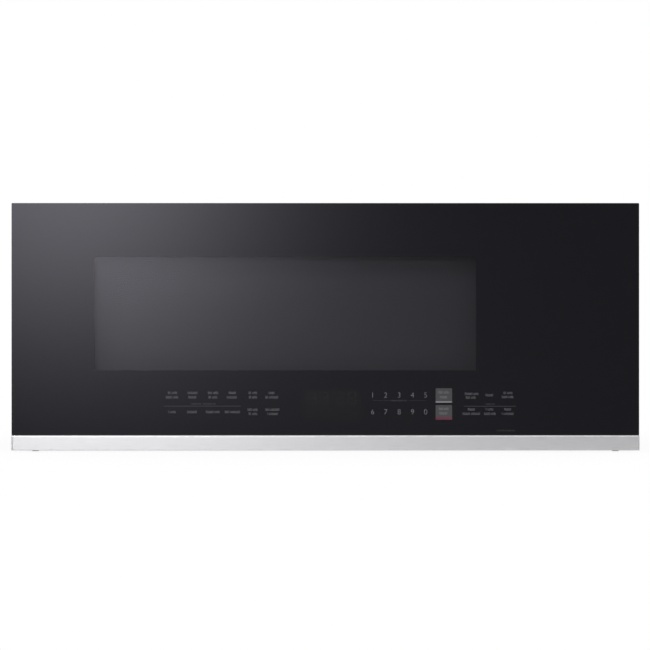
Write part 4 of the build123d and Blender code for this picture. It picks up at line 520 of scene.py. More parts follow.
def print_pane():
    """Black under the pane's gloss everywhere but at its window, and dull at its ground edges."""
    window = inside_box(door_pane, (WINDOW_X[0], WINDOW_Z[0]), (WINDOW_X[1], WINDOW_Z[1]), PRINT_EDGE)
    gloss = door_pane.node_tree.nodes["shader"].inputs["Roughness"].links[0].from_socket
    lay_over(door_pane, maths(door_pane, "SUBTRACT", 1, window), PANE_BLACK, gloss)
    low, high = (pane_low.x, pane_low.z), (pane_high.x, pane_high.z)
    face = inside_box(
        door_pane, [side + GROUND_EDGE for side in low], [side - GROUND_EDGE for side in high], SHARP_EDGE)
    lay_over(door_pane, maths(door_pane, "SUBTRACT", 1, face), (0.012, 0.013, 0.014), 0.5)


def fired_print(name, colour):
    """Enamel fired on the pane: an uneven colour under the pane's own gloss."""
    finish = new_finish(name, colour, 0.02)
    shade_by(finish, spread(finish, noise(finish, 400.0), 0, 1), colour, 0.96, 1.04)
    smears(finish, *PANE_SMEARS)
    return finish


print_pane()
pane_enamel = moulded_plastic("pane_enamel", (0.0087, 0.0083, 0.0106), 0.5, grain=2000.0, depth=0.00001)
legend_grey = fired_print("legend_grey", (0.119, 0.119, 0.129))
digit_grey = fired_print("digit_grey", (0.138, 0.138, 0.148))
small_grey = fired_print("small_grey", (0.053, 0.053, 0.059))
pad_grey = fired_print("pad_grey", (0.0500, 0.0500, 0.0516))
pad_mark_grey = fired_print("pad_mark_grey", (0.165, 0.165, 0.171))
pad_bright = fired_print("pad_bright", (0.170, 0.170, 0.177))
pad_red = fired_print("pad_red", (0.0985, 0.0277, 0.0442))
display_dark = fired_print("display_dark", (0.0061, 0.0062, 0.0065))
segment_grey = fired_print("segment_grey", (0.0135, 0.0135, 0.0138))


def make_pane_print():
    """Black enamel over the pane's back, with the window left clear."""
    shape = bmesh.new()
    sides = [grown_by((pane_low[axis], pane_high[axis]), -PRINT_MARGIN) for axis in (0, 2)]
    add_outline(shape, *sides, PRINT_Y[0], PRINT_CORNER)
    add_outline(shape, WINDOW_X, WINDOW_Z, PRINT_Y[0], WINDOW_CORNER, 8)
    bmesh.ops.delete(shape, geom=list(shape.faces), context="FACES_ONLY")
    bmesh.ops.bridge_loops(shape, edges=list(shape.edges))
    draw_out(shape, list(shape.faces), (0, PRINT_Y[1] - PRINT_Y[0], 0))
    make_piece("pane_print", shape, pane_enamel, "door")


LETTER = 2.1 * MM          # one stand-in letter's pitch
LETTER_HEIGHT = 2.4 * MM
LETTER_WIDTH = 0.55        # of its pitch
ASCENDER = 1.3             # of its height
STROKE = 0.30 * MM


def add_mark_line(shape, columns, row, height, seed):
    """A line of plain strokes between two columns of the photograph. It spells nothing."""
    left, right = (photo_x(column) for column in columns)
    foot = photo_z(row) - height / 2
    count = max(2, round((right - left) / (LETTER * height / LETTER_HEIGHT)))
    pitch = (right - left) / count
    stroke = STROKE * height / LETTER_HEIGHT
    for i in range(count):
        x = left + i * pitch
        far = x + pitch * LETTER_WIDTH
        kind = (i * 5 + seed * 3 + count) % 6
        head = foot + height * (ASCENDER if kind in (1, 4) or i == 0 else 1.0)
        add_plate(shape, (x, x + stroke), (foot, head), LEGEND_Y)
        if kind != 4:
            add_plate(shape, (far, far + stroke), (foot, foot + height), LEGEND_Y)
        if kind in (0, 1, 3, 5):
            add_plate(shape, (x + stroke, far), (foot, foot + stroke), LEGEND_Y)
        if kind in (0, 2, 5):
            add_plate(shape, (x + stroke, far), (foot + height - stroke, foot + height), LEGEND_Y)


LABELS = (      # each key's lines: row, first and last column
    ((393.0, 168.1, 177.3), (397.4, 166.0, 178.5)),
    ((393.0, 187.8, 198.8), (397.4, 188.5, 197.5)),
    ((393.0, 208.1, 218.5), (397.4, 208.8, 217.5)),
    ((393.0, 228.8, 236.9), (397.4, 226.9, 238.1)),
    ((393.0, 248.8, 257.3), (397.4, 249.0, 257.3)),
    ((393.0, 268.8, 275.6), (397.4, 265.6, 279.4)),
    ((412.1, 168.5, 176.3),), ((412.1, 187.3, 198.1),), ((412.1, 206.0, 220.0),), ((412.1, 225.0, 241.3),),
    ((409.8, 247.8, 257.8), (414.0, 248.8, 257.5)),
    ((409.8, 265.6, 280.6), (414.0, 267.5, 279.0)),
    ((394.0, 465.0, 478.8), (397.6, 466.0, 476.0)),
    ((395.3, 485.6, 494.4),),
    ((393.1, 503.8, 513.0), (397.1, 502.0, 513.8)),
    ((409.5, 468.0, 476.0), (413.9, 462.8, 481.3)),
    ((409.5, 486.0, 493.8), (413.9, 484.4, 496.0)),
    ((409.5, 504.4, 512.3), (413.9, 502.0, 515.0)),
)
RULES = (      # thin lines: first and last column, row, thickness in pixels
    (163.8, 240.6, 406.3, 0.36), (463.8, 516.0, 406.4, 0.36),
    (372.0, 389.0, 400.5, 0.14), (409.0, 425.6, 400.5, 0.14),
)
SMALL_LINES = (      # small grey words: first and last column, row
    (190.6, 201.3, 403.9), (203.1, 216.0, 403.9), (390.0, 407.0, 400.6), (486.0, 495.0, 404.1),
    (497.0, 515.0, 430.6),
)
SMALL_HEIGHT = 1.5 * MM


def make_legends():
    shape = bmesh.new()
    for seed, lines in enumerate(LABELS):
        for row, first, last in lines:
            add_mark_line(shape, (first, last), row, LETTER_HEIGHT, seed)
    make_piece("key_legends", shape, legend_grey, "door")
    small = bmesh.new()
    for first, last, row, thickness in RULES:
        add_plate(small, (photo_x(first), photo_x(last)), (photo_z(row), photo_z(row - thickness)), LEGEND_Y)
    for first, last, row in SMALL_LINES:
        add_mark_line(small, (first, last), row, SMALL_HEIGHT, 2)
    make_piece("small_legends", small, small_grey, "door")


DIGIT_COLUMNS = (372.6, 385.7, 399.2, 412.5, 425.7)
DIGIT_ROWS = ((395.0, "12345"), (411.8, "67890"))
DIGIT_HEIGHT = 5.3 * PX
DIGIT_THINNING = 0.16 * MM
DIGIT_PER_SIZE = 0.70      # a digit's height as a share of its font's size


def add_digit(shape, text, column, row):
    """A plain digit, centred on a place in the photograph."""
    curve = bpy.data.curves.new("digit", "FONT")
    curve.body = text
    curve.size = DIGIT_HEIGHT / DIGIT_PER_SIZE
    curve.align_x = "CENTER"
    curve.extrude = (LEGEND_Y[1] - LEGEND_Y[0]) / 2
    curve.resolution_u = 4
    curve.offset = -DIGIT_THINNING
    holder = bpy.data.objects.new("digit", curve)
    bpy.context.scene.collection.objects.link(holder)
    bpy.context.view_layer.update()
    mesh = bpy.data.meshes.new_from_object(holder.evaluated_get(bpy.context.evaluated_depsgraph_get()))
    bpy.data.objects.remove(holder)
    spot = Matrix.Translation((photo_x(column), sum(LEGEND_Y) / 2, photo_z(row) - DIGIT_HEIGHT / 2))
    mesh.transform(spot @ Matrix.Rotation(math.radians(90), 4, "X"))
    shape.from_mesh(mesh)
    bpy.data.meshes.remove(mesh)


def make_digits():
    shape = bmesh.new()
    for row, digits in DIGIT_ROWS:
        for column, digit in zip(DIGIT_COLUMNS, digits):
            add_digit(shape, digit, column, row)
    bmesh.ops.remove_doubles(shape, verts=list(shape.verts), dist=1e-7)
    make_piece("key_digits", shape, digit_grey, "door")


PAD_COLUMNS = (435.65, 452.15)
START_PAD_ROWS = (388.3, 401.3, 402.7)      # top, foot line's top, bottom
STOP_PAD_ROWS = (405.1, 417.0, 419.7)
PAD_CORNER = 0.3 * MM
PAD_FOOT_CORNER = 0.25 * MM
PAD_MARKS = ((392.5, 438.6, 449.4), (397.3, 440.0, 448.2), (408.9, 439.2, 448.8), (413.4, 439.6, 448.6))


def make_pads():
    """The start and stop pads: flush printed squares, each with a coloured foot."""
    across = tuple(photo_x(column) for column in PAD_COLUMNS)
    face = bmesh.new()
    for top, foot, _ in (START_PAD_ROWS, STOP_PAD_ROWS):
        add_plate(face, across, (photo_z(foot), photo_z(top)), LEGEND_Y, PAD_CORNER)
    make_piece("key_pads", face, pad_grey, "door")
    feet = (("start_pad_foot", START_PAD_ROWS, pad_bright), ("stop_pad_foot", STOP_PAD_ROWS, pad_red))
    for name, (_, top, bottom), finish in feet:
        band = bmesh.new()
        add_plate(band, across, (photo_z(bottom), photo_z(top)), LEGEND_Y, PAD_FOOT_CORNER)
        make_piece(name, band, finish, "door")
    marks = bmesh.new()
    for seed, (row, first, last) in enumerate(PAD_MARKS):
        add_mark_line(marks, (first, last), row, LETTER_HEIGHT, seed)
    bmesh.ops.translate(marks, vec=UPPER_MARK, verts=list(marks.verts))
    make_piece("pad_marks", marks, pad_mark_grey, "door")


DISPLAY_COLUMNS = (304.0, 360.0)
DISPLAY_ROWS = (419.0, 390.0)
DISPLAY_CORNER = 0.8 * MM
SEGMENT = 0.9 * MM
SEGMENT_CORNER = SEGMENT / 3
SEGMENT_DIGIT = (8.0 * PX, 12.0 * PX)
SEGMENT_DIGIT_COLUMNS = (312.0, 324.0, 340.0, 352.0)
SEGMENT_DIGIT_TOP = 392.0
COLON_COLUMNS = (331.4, 332.4)
COLON_ROWS = ((396.5, 395.5), (400.5, 399.5))


def make_display():
    """The display's dark face with its unlit segments."""
    face = bmesh.new()
    across, upright = [photo_x(c) for c in DISPLAY_COLUMNS], [photo_z(r) for r in DISPLAY_ROWS]
    add_plate(face, across, upright, LEGEND_Y, DISPLAY_CORNER)
    make_piece("display_face", face, display_dark, "door")
    bars = bmesh.new()
    width, height = SEGMENT_DIGIT
    gap = SEGMENT / 2
    top = photo_z(SEGMENT_DIGIT_TOP)
    middle, foot = top - height / 2, top - height
    for column in SEGMENT_DIGIT_COLUMNS:
        left = photo_x(column) - width / 2
        right = left + width
        bar = (left + SEGMENT + gap, right - SEGMENT - gap)
        for z in (top - SEGMENT, middle - SEGMENT / 2, foot):
            add_plate(bars, bar, (z, z + SEGMENT), LEGEND_Y, SEGMENT_CORNER, 1)
        for x in (left, right - SEGMENT):
            for low, high in ((foot + SEGMENT, middle - gap), (middle + gap, top - SEGMENT)):
                add_plate(bars, (x, x + SEGMENT), (low + gap, high - gap), LEGEND_Y, SEGMENT_CORNER, 1)
    for rows in COLON_ROWS:
        across, upright = [photo_x(c) for c in COLON_COLUMNS], [photo_z(r) for r in rows]
        add_plate(bars, across, upright, LEGEND_Y, SEGMENT_CORNER, 2)
    bmesh.ops.translate(bars, vec=UPPER_MARK, verts=list(bars.verts))
    make_piece("display_segments", bars, segment_grey, "door")


make_pane_print()
make_legends()
make_digits()
make_pads()
make_display()


# ---------------------------------------------------------------- edges of pressed and moulded nodes
EDGE_ROUNDS = {      # rounding in millimetres, and its segments
    "door_trim": (0.75, 4), "trim_end_caps": (0.5, 3), "base_feet": (0.8, 4), "door_frame": (0.5, 2),
    "door_rear_cover": (0.5, 2), "steam_duct": (0.8, 3), "exhaust_cover": (0.3, 2),
    "cooktop_lamp_lenses": (0.5, 3),
}
FLAT_ANGLE = math.radians(0.5)         # triangles within it are one flat face
ROUNDED_ANGLE = math.radians(32)       # edges flatter than this stay as they are


def round_edges():
    """Gives moulded and pressed nodes their rounded edges, on a merged copy of each."""
    body_of = {name: body for body, names in frame["record"]["behaviour"]["bodies"].items() for name in names}
    for name, (radius, segments) in EDGE_ROUNDS.items():
        shape = bmesh.new()
        shape.from_mesh(nodes[name].data)
        bmesh.ops.remove_doubles(shape, verts=list(shape.verts), dist=1e-6)
        bmesh.ops.dissolve_limit(
            shape, angle_limit=FLAT_ANGLE, verts=list(shape.verts), edges=list(shape.edges))
        corners = [edge for edge in shape.edges if edge.calc_face_angle(0) > ROUNDED_ANGLE]
        bevel(shape, corners, radius * MM, segments, clamp=True)
        finish = nodes[name].data.materials[0]
        piece = make_piece(name + "_rounded", shape, finish, body_of[name], smooth=50)
        piece.modifiers.new("flat_faces", "WEIGHTED_NORMAL").keep_sharp = True
        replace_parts(piece, name)


round_edges()


# ---------------------------------------------------------------- cavity
CAVITY_SHEET = 1 * MM
CAVITY_FLANGE = 2 * MM
COVE = 7 * MM
COVE_STEPS = 6


def add_cove(shape, start, end, side_a, side_b):
    """A hollow fillet along an inside corner, from start to end, between two wall directions."""
    start, side_a, side_b = (Vector(v) for v in (start, side_a, side_b))
    turns = [math.pi / 2 * i / COVE_STEPS for i in range(COVE_STEPS + 1)]
    curve = [start + COVE * (side_a * (1 - math.sin(t)) + side_b * (1 - math.cos(t))) for t in turns]
    add_prism(shape, [start] + curve, Vector(end) - start)


def make_cavity_coves():
    """Rounded inner corners of the pressed cavity: along its sides, and upright and across at its rear."""
    low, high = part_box("cavity_walls")
    left, right = low.x + CAVITY_SHEET - LAP, high.x - CAVITY_SHEET + LAP
    front, rear = low.y + CAVITY_FLANGE, high.y - CAVITY_SHEET + LAP
    foot, head = low.z - LAP, high.z - CAVITY_SHEET + LAP
    shape = bmesh.new()
    for x, inward in ((left, 1), (right, -1)):
        add_cove(shape, (x, rear, foot), (x, rear, head), (inward, 0, 0), (0, -1, 0))
        for z, upward in ((foot, 1), (head, -1)):
            add_cove(shape, (x, front, z), (x, rear, z), (inward, 0, 0), (0, 0, upward))
    for z, upward in ((foot, 1), (head, -1)):
        add_cove(shape, (left, rear, z), (right, rear, z), (0, -1, 0), (0, 0, upward))
    make_piece("cavity_coves", shape, cavity_enamel, "cabinet", smooth=40)


PIN_PROFILE = ((0, 1.3), (1.6, 1.1), (2.8, 0.5), (3.1, 0), (0, 0))      # radius and height, mm
PIN_INSET = 7 * MM
PIN_STEPS = 20


def make_cover_pins():
    """Push pins that hold the waveguide cover to the right wall."""
    low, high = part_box("waveguide_cover")
    shape = bmesh.new()
    profile = [(radius * MM, height * MM) for radius, height in PIN_PROFILE]
    for y in (low.y + PIN_INSET, high.y - PIN_INSET):
        for z in (low.z + PIN_INSET, high.z - PIN_INSET):
            at = Matrix.Translation((low.x + LAP, y, z)) @ Matrix.Rotation(math.radians(-90), 4, "Y")
            add_turned(shape, profile, at, PIN_STEPS)
    make_piece("waveguide_cover_pins", shape, white_plastic, "cabinet", smooth=35)


TRAY_RINGS = (58 * MM, 84 * MM, 110 * MM)      # their radii
TRAY_FLOOR_Z = 91 * MM
RING_HEIGHT = 0.7 * MM
RING_WIDTH = 2.2 * MM
RING_STEPS = 6      # across a ring
TRAY_STEPS = 96     # round the tray


def make_tray_rings():
    """Rings pressed in the glass tray's face."""
    low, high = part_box("glass_turntable")
    here = Matrix.Translation(((low.x + high.x) / 2, (low.y + high.y) / 2, 0))
    turns = [math.pi * i / RING_STEPS for i in range(RING_STEPS + 1)]
    shape = bmesh.new()
    for radius in TRAY_RINGS:
        arc = [
            (radius - RING_WIDTH / 2 * math.cos(turn), TRAY_FLOOR_Z - LAP + RING_HEIGHT * math.sin(turn))
            for turn in turns
        ]
        add_turned(shape, arc + [arc[0]], here, TRAY_STEPS)
    make_piece("tray_rings", shape, tray_glass, "tray", smooth=40)


make_tray_rings()
make_cavity_coves()
make_cover_pins()


# ---------------------------------------------------------------- grease filters
STRAND = (0.9 * MM, 0.45 * MM)      # width and thickness
DIAMOND = (7.5 * MM, 4.4 * MM)
FILTER_RIM = 9 * MM
FILTER_Y = (-6 * MM, 126 * MM)
FILTER_MESH_Z = (6.85 * MM, 9.25 * MM)
FILTER_MAT_Z = ((7.3 * MM, 7.5 * MM), (9.1 * MM, 9.25 * MM))
FIRST_STRAND = 0.2 * MM             # from the frame's front


def add_zigzag(shape, x_from, x_to, y, z, phase):
    """One row of an expanded sheet: a flat strand that weaves between its neighbours."""
    step, swing = DIAMOND[0] / 2, DIAMOND[1] / 2
    count = int((x_to - x_from) / step)
    path = [shape.verts.new((x_from + i * step, y + swing * ((i + phase) % 2), z)) for i in range(count + 1)]
    edges = [shape.edges.new(pair) for pair in zip(path, path[1:])]
    band = shift(shape, bmesh.ops.extrude_edge_only(shape, edges=edges), (0, STRAND[0], 0))
    draw_out(shape, only(band, bmesh.types.BMFace), (0, 0, STRAND[1]))


def make_filter_mesh(side):
    """Expanded aluminium sheets on both faces of a grease filter's mat."""
    low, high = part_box("grease_filter_" + side)
    left, right = low.x + FILTER_RIM, high.x - FILTER_RIM
    front, rear = FILTER_Y
    shape = bmesh.new()
    for z in FILTER_MESH_Z:
        y, row = front + FIRST_STRAND, 0
        while y + DIAMOND[1] < rear:
            add_zigzag(shape, left, right, y, z, row)
            y += DIAMOND[1] / 2
            row += 1
    make_piece("filter_mesh_" + side, shape, bright_aluminium, "filter_" + side)
    mat = bmesh.new()
    for foot, head in FILTER_MAT_Z:
        corners = ((left, front, foot), (right, front, foot), (right, rear, foot), (left, rear, foot))
        add_prism(mat, corners, (0, 0, head - foot))
    make_piece("filter_mat_" + side, mat, filter_mat, "filter_" + side)


make_filter_mesh("left")
make_filter_mesh("right")


# ---------------------------------------------------------------- cooktop lamps
LENS_LENGTH = 94 * MM
LENS_INSET = 5 * MM
RIB_PITCH = 3.2 * MM
RIB_DEPTH = 0.65 * MM
RIB_SECTION = ((0, 0), (0.2, 0.7), (0.5, 1), (0.8, 0.7), (1, 0))       # in pitches and depths


def make_lens_ribs():
    """Prism ribs under the cooktop lamps' lenses, which spread the light across the cooktop."""
    low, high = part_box("cooktop_lamp_lenses")
    run = (LENS_LENGTH - 2 * LENS_INSET, 0, 0)
    shape = bmesh.new()
    for left in (low.x, high.x - LENS_LENGTH):
        y = low.y + LENS_INSET
        while y + RIB_PITCH <= high.y - LENS_INSET:
            section = [
                (left + LENS_INSET, y + across * RIB_PITCH, low.z + LAP - down * RIB_DEPTH)
                for across, down in RIB_SECTION
            ]
            add_prism(shape, section, run)
            y += RIB_PITCH
    make_piece("lens_ribs", shape, lamp_lens, "cabinet", smooth=50)


make_lens_ribs()


# ---------------------------------------------------------------- screws
CASE_SCREWS = [(x, 232.0, z) for x in (-368.5, 368.5) for z in (35.0, 113.8, 192.7, 271.5)]
HINGE_SCREWS = [(-355.5, -195.0, z) for z in (32.8, 45.8, 271.8, 284.8)]
MOTOR_SCREWS = [(x, -29.5, 67.0) for x in (-79.8, -17.8)]
LENS_SCREWS = [(x, -160.0, 4.0) for x in (-282.0, -178.0, 178.0, 282.0)]
BASE_SCREWS = [(x, y, 4.0) for x in (-366.0, 366.0) for y in (-150.0, 30.0, 190.0)]
CAD_SCREWS = (      # seats, facing, and the radius and height or length of head and shank, mm
    (CASE_SCREWS, "rear", (3.8, 2.2), (2.0, 2.0)),
    (HINGE_SCREWS, "rear", (3.5, 2.0), (2.0, 3.0)),
    (MOTOR_SCREWS, "down", (3.0, 2.0), (1.5, 2.0)),
)
FURTHER_SCREWS = (
    (LENS_SCREWS + BASE_SCREWS, "down", (3.2, 1.5), (1.6, 0.8)),
)
FACING = {
    "rear": Matrix.Rotation(math.radians(-90), 4, "X"),
    "down": Matrix.Rotation(math.radians(180), 4, "X"),
}
HEAD_PROFILE = ((0.8, 1), (0.93, 0.8), (1, 0.35), (1, 0))      # in the head's radii and heights
RECESS_ARM = 0.52                   # in the head's radii
RECESS_HALF_WIDTH = 0.13            # in the head's radii
RECESS_DEPTH = 0.55                 # in the head's heights
RECESS_TAPER = 0.8
SCREW_STEPS = 24


def add_screw(shape, seat, facing, head, shank):
    """A pan-head screw with a cross recess, made in millimetres: its seat, its head and its shank."""
    before = set(shape.verts)
    radius, height = head
    arm, half_slot = RECESS_ARM * radius, RECESS_HALF_WIDTH * radius
    grid = bmesh.ops.create_grid(
        shape, x_segments=3, y_segments=3, size=arm, matrix=Matrix.Translation((0, 0, height)))["verts"]
    for vert in grid:
        for axis in (0, 1):
            if abs(vert.co[axis]) < arm - half_slot:
                vert.co[axis] = math.copysign(half_slot, vert.co[axis])
    faces = {face for vert in grid for face in vert.link_faces}
    cross = [face for face in faces if min(abs(c) for c in face.calc_center_median().xy) < half_slot]
    sunk = draw_out(shape, cross, (0, 0, -RECESS_DEPTH * height))
    bmesh.ops.delete(shape, geom=[face for face in cross if face.is_valid], context="FACES")
    bmesh.ops.scale(shape, vec=(RECESS_TAPER, RECESS_TAPER, 1), verts=only(sunk, bmesh.types.BMVert))
    shank_radius, length = shank
    profile = [(across * radius, up * height) for across, up in HEAD_PROFILE]
    profile += [(shank_radius, 0), (shank_radius, -length), (0, -length)]
    add_turned(shape, profile, Matrix.Identity(4), SCREW_STEPS)
    open_edges = [
        edge for edge in shape.edges if len(edge.link_faces) == 1 and edge.verts[0] not in before]
    bmesh.ops.bridge_loops(shape, edges=open_edges)
    at = Matrix.Translation(Vector(seat) * MM) @ FACING[facing] @ Matrix.Scale(MM, 4)
    bmesh.ops.transform(shape, matrix=at, verts=new_in(shape.verts, before))


def make_screws(name, rows, finish):
    shape = bmesh.new()
    for seats, facing, head, shank in rows:
        for seat in seats:
            add_screw(shape, seat, facing, head, shank)
    return make_piece(name, shape, finish, "cabinet", smooth=30)


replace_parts(make_screws("cross_recess_screws", CAD_SCREWS, zinc_steel), "screws")
make_screws("base_screws", FURTHER_SCREWS, black_steel)


# ---------------------------------------------------------------- pressed beads and mouldings
BEAD_WIDTH = 9 * MM
BEAD_STEPS = ((0.2, 0.65), (0.35, 0.35))      # inset in half widths, and rise in heights
REAR_BEADS = [(x, 232, z, 240, 0) for x in (-140, 140) for z in (95, 185)]      # place, length, turn
BASE_BEADS = ((-310, 45, 4, 250, 90), (310, 45, 4, 250, 90), (0, -172, 4, 300, 0), (0, -148, 4, 300, 0))
REAR_BEAD_HEIGHT = 1.4 * MM
BASE_BEAD_HEIGHT = 1.0 * MM


def add_bead(shape, middle, length, degrees, facing, height):
    """A stiffening bead with rounded ends, pressed out of a sheet: its place and length in millimetres."""
    before = set(shape.verts)
    half, end = BEAD_WIDTH / 2, length / 2 * MM
    corners = ((-end, -half), (end, -half), (end, half), (-end, half))
    verts = [shape.verts.new((x, y, -LAP)) for x, y in corners]
    shape.faces.new(verts)
    bevel(shape, verts, 0.999 * half, 8, "VERTICES")
    bmesh.ops.remove_doubles(shape, verts=new_in(shape.verts, before), dist=0.02 * MM)
    foot = list({face for vert in new_in(shape.verts, before) for face in vert.link_faces})
    crown = only(draw_out(shape, foot, (0, 0, LAP)), bmesh.types.BMFace)
    for inset, rise in BEAD_STEPS:
        bmesh.ops.inset_region(
            shape, faces=crown, thickness=inset * half, depth=rise * height, use_even_offset=True)
    turn = Matrix.Rotation(math.radians(degrees), 4, "Z")
    at = Matrix.Translation(Vector(middle) * MM) @ FACING[facing] @ turn
    bmesh.ops.transform(shape, matrix=at, verts=new_in(shape.verts, before))


def make_beads(name, rows, facing, height, finish):
    """The rear panel's beads, seen through the wall plate's opening, or those of the base plate."""
    shape = bmesh.new()
    for *middle, length, degrees in rows:
        add_bead(shape, middle, length, degrees, facing, height)
    make_piece(name, shape, finish, "cabinet", smooth=60)


def add_moulding(shape, x, z, y, width, rise, inner_corner=1 * MM):
    """A low rounded moulding round a rectangle that faces the front or the rear, standing proud by rise."""
    before = set(shape.faces)
    add_outline(shape, x, z, y, width + inner_corner)
    middle = new_in(shape.faces, before)
    ring = bmesh.ops.inset_region(
        shape, faces=middle, thickness=width, use_even_offset=True, use_boundary=True)["faces"]
    bmesh.ops.delete(shape, geom=middle, context="FACES_ONLY")
    crown = draw_out(shape, ring, (0, rise, 0))
    top = set(only(crown, bmesh.types.BMFace))
    rims = [e for e in only(crown, bmesh.types.BMEdge) if sum(face in top for face in e.link_faces) == 1]
    bevel(shape, rims, 0.7 * abs(rise), 3)


CAVITY_MOUTH = ((-337.3 * MM, 239.7 * MM), (70 * MM, 261 * MM))
REAR_WINDOW = ((-284.8 * MM, 187.2 * MM), (94.0 * MM, 241.6 * MM))
CHOKE_COVER = ((-352 * MM, 256 * MM), (52 * MM, 278 * MM))
LATCH_SLOTS = (
    ((264 * MM, 279 * MM), (105.7 * MM, 126.3 * MM)),
    ((264 * MM, 279 * MM), (225.7 * MM, 246.3 * MM)),
)
MOUTH_STEP = (9 * MM, 5 * MM, -0.6 * MM)      # margin round the opening, width and rise
SLOT_FRAME = (4 * MM, 3.6 * MM, -0.9 * MM)
WINDOW_FRAME = (7 * MM, 5 * MM, 0.8 * MM)
CHOKE_SEAM = (2 * MM, 0.6 * MM, 4 * MM)       # width, rise and inner corner


def frame_round(shape, opening, y, margin, width, rise):
    """A moulding round an opening, its outer edge at a margin from it."""
    add_moulding(shape, *[grown_by(span, margin) for span in opening], y, width, rise)


def make_front_mouldings():
    """The pressed step round the cavity's mouth, and the frames of the two latch slots."""
    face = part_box("front_plate")[0].y + LAP
    shape = bmesh.new()
    frame_round(shape, CAVITY_MOUTH, face, *MOUTH_STEP)
    make_piece("cavity_mouth_step", shape, case_paint, "cabinet", smooth=40)
    shape = bmesh.new()
    for slot in LATCH_SLOTS:
        frame_round(shape, slot, face, *SLOT_FRAME)
    make_piece("latch_slot_frames", shape, black_plastic, "cabinet", smooth=40)


def make_door_mouldings():
    """On the door's rear cover: the frame round the inner window, and the snap-on choke cover's seam."""
    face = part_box("door_rear_cover")[1].y - LAP
    shape = bmesh.new()
    frame_round(shape, REAR_WINDOW, face, *WINDOW_FRAME)
    add_moulding(shape, *CHOKE_COVER, face, *CHOKE_SEAM)
    make_piece("rear_cover_mouldings", shape, black_plastic, "door", smooth=40)


make_beads("rear_panel_beads", REAR_BEADS, "rear", REAR_BEAD_HEIGHT, zinc_steel)
make_beads("base_plate_beads", BASE_BEADS, "down", BASE_BEAD_HEIGHT, case_paint)
make_front_mouldings()
make_door_mouldings()


# ---------------------------------------------------------------- camera and studio
CAMERA_DISTANCE = 3.5
SENSOR = 36.0
cam_data = bpy.data.cameras.new("camera")
cam_data.sensor_width = SENSOR
cam_data.lens = SENSOR * CAMERA_DISTANCE / (PHOTO_SIZE * PX)
cam_data.clip_end = 50
camera = bpy.data.objects.new("camera", cam_data)
camera.location = (photo_x(PHOTO_SIZE / 2), cad_box[0].y - CAMERA_DISTANCE, photo_z(PHOTO_SIZE / 2))
camera.rotation_euler = (math.radians(90), 0, 0)
bpy.context.scene.collection.objects.link(camera)
bpy.context.scene.camera = camera


def seen_rays(owner):
    """1 for the rays of the camera, mirrors and glass, and 0 for all others."""
    rays = add_node(owner, "LightPath").outputs
    direct = maths(owner, "MAXIMUM", rays["Is Camera Ray"], rays["Is Glossy Ray"])
    return maths(owner, "MAXIMUM", direct, rays["Is Transmission Ray"])


WORLD_LIGHT = 0.62


def make_world():
    """Full white to the camera, mirrors and glass, and a dimmer light to everything else."""
    world = bpy.data.worlds.new("studio")
    bpy.context.scene.world = world
    world.use_nodes = True
    world.node_tree.nodes.clear()
    dim = add_node(world, "Background", {"Strength": WORLD_LIGHT})
    white = add_node(world, "Background", {"Color": WHITE})
    shader = mix_shaders(world, seen_rays(world), dim.outputs[0], white.outputs[0])
    add_node(world, "OutputWorld", {"Surface": shader})


def add_backdrop(name, at, finish):
    """A flat stage piece, made from a square of 2 m by a matrix."""
    shape = bmesh.new()
    bmesh.ops.create_grid(shape, x_segments=1, y_segments=1, size=1, matrix=at)
    mesh = bpy.data.meshes.new(name)
    shape.to_mesh(mesh)
    shape.free()
    mesh.materials.append(finish)
    backdrop = bpy.data.objects.new(name, mesh)
    bpy.context.scene.collection.objects.link(backdrop)
    return backdrop


FLOOR_AT = Matrix.Translation((0, 0.81, -0.05 * MM)) @ Matrix.Diagonal((2.4, 1.6, 1, 1))
FLOOR_NEAR = 0.93      # share of white near the object
FLOOR_FADE = (0.5, 0.9)


def make_floor():
    """A pale floor that keeps the shadow near the object and fades to white further out."""
    finish = new_finish("pale_floor", (0.86, 0.86, 0.86), 0.8)
    reach = vector_maths(finish, "LENGTH", place(finish, (1, 1.3, 1)))["Value"]
    share = maths(finish, "MULTIPLY", seen_rays(finish), spread(finish, reach, FLOOR_NEAR, 1.0, *FLOOR_FADE))
    lit = finish.node_tree.nodes["shader"].outputs[0]
    shader = mix_shaders(finish, share, lit, add_node(finish, "Emission").outputs[0])
    below = add_node(finish, "NewGeometry").outputs["Backfacing"]
    open_below = add_node(finish, "BsdfTransparent").outputs[0]
    set_surface(finish, mix_shaders(finish, below, shader, open_below))
    add_backdrop("floor", FLOOR_AT, finish)


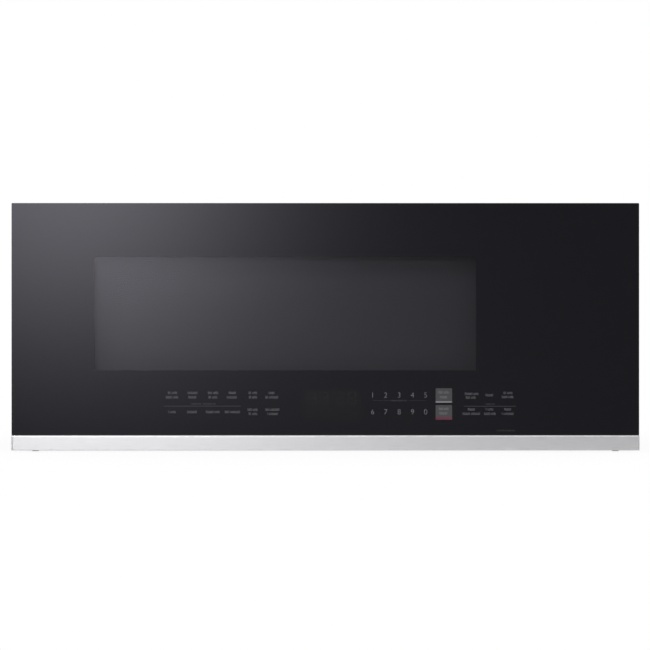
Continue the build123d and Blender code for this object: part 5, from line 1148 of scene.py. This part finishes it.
GLOWS = (      # centre, reach and brightness of each soft glow on the card behind the camera
    ((-0.75, 0.68), (0.53, 0.530), 3.12),
    ((0.092, -0.031), (0.55, 0.54), 0.09),
)
CARD_UPRIGHT = Matrix.Rotation(math.radians(-90), 4, "X")
CARD_AT = Matrix.Translation((0, -5.2, 0.9)) @ CARD_UPRIGHT @ Matrix.Diagonal((2.6, 1.9, 1, 1))
CARD_BASE = 0.134
CARD_TINT = (0.98, 0.955, 1.07, 1)


def make_card():
    """A dark studio card behind the camera with a soft glow at its upper left, for the pane to mirror."""
    finish = new_finish("studio_card", (0, 0, 0), 1.0)
    here = add_node(finish, "SeparateXYZ", {0: place(finish)}).outputs
    total = CARD_BASE
    for centre, reach, brightness in GLOWS:
        offsets = [
            maths(finish, "DIVIDE", maths(finish, "SUBTRACT", here[axis], middle), far)
            for axis, middle, far in zip("XZ", centre, reach)
        ]
        both = maths(finish, "ADD", *[maths(finish, "MULTIPLY", offset, offset) for offset in offsets])
        fall = maths(finish, "EXPONENT", maths(finish, "MULTIPLY", both, -1.0))
        total = maths(finish, "ADD", maths(finish, "MULTIPLY", fall, brightness), total)
    glow = add_node(finish, "Emission", {"Color": CARD_TINT, "Strength": total})
    set_surface(finish, glow.outputs[0])
    add_backdrop("studio_card", CARD_AT, finish).visible_camera = False


def add_softbox(name, place_at, aim, size, watts):
    data = bpy.data.lights.new(name, "AREA")
    data.shape = "RECTANGLE"
    data.size, data.size_y = size
    data.energy = watts
    lamp = bpy.data.objects.new(name, data)
    lamp.location = place_at
    lamp.rotation_euler = (Vector(aim) - Vector(place_at)).to_track_quat("-Z", "Y").to_euler()
    bpy.context.scene.collection.objects.link(lamp)


make_world()
make_floor()
make_card()
add_softbox("key_light", (-2.0, -2.2, 1.9), (0, -0.1, 0.15), (1.4, 1.2), 55)
add_softbox("fill_light", (2.2, -1.6, 1.4), (0, -0.1, 0.15), (1.2, 1.0), 14)
add_softbox("strip_light", (-0.45, -1.6, 0.48), (-0.3, -0.24, 0.0), (0.3, 0.2), 5.9)
add_softbox("edge_light", (0.3, -1.6, 1.7), (0.25, -0.24, 0.02), (1.2, 0.35), 5)
add_softbox("rear_light", (0.6, 2.4, 1.8), (0, 0.1, 0.15), (1.4, 1.0), 22)

bpy.context.scene.view_settings.view_transform = "Standard"
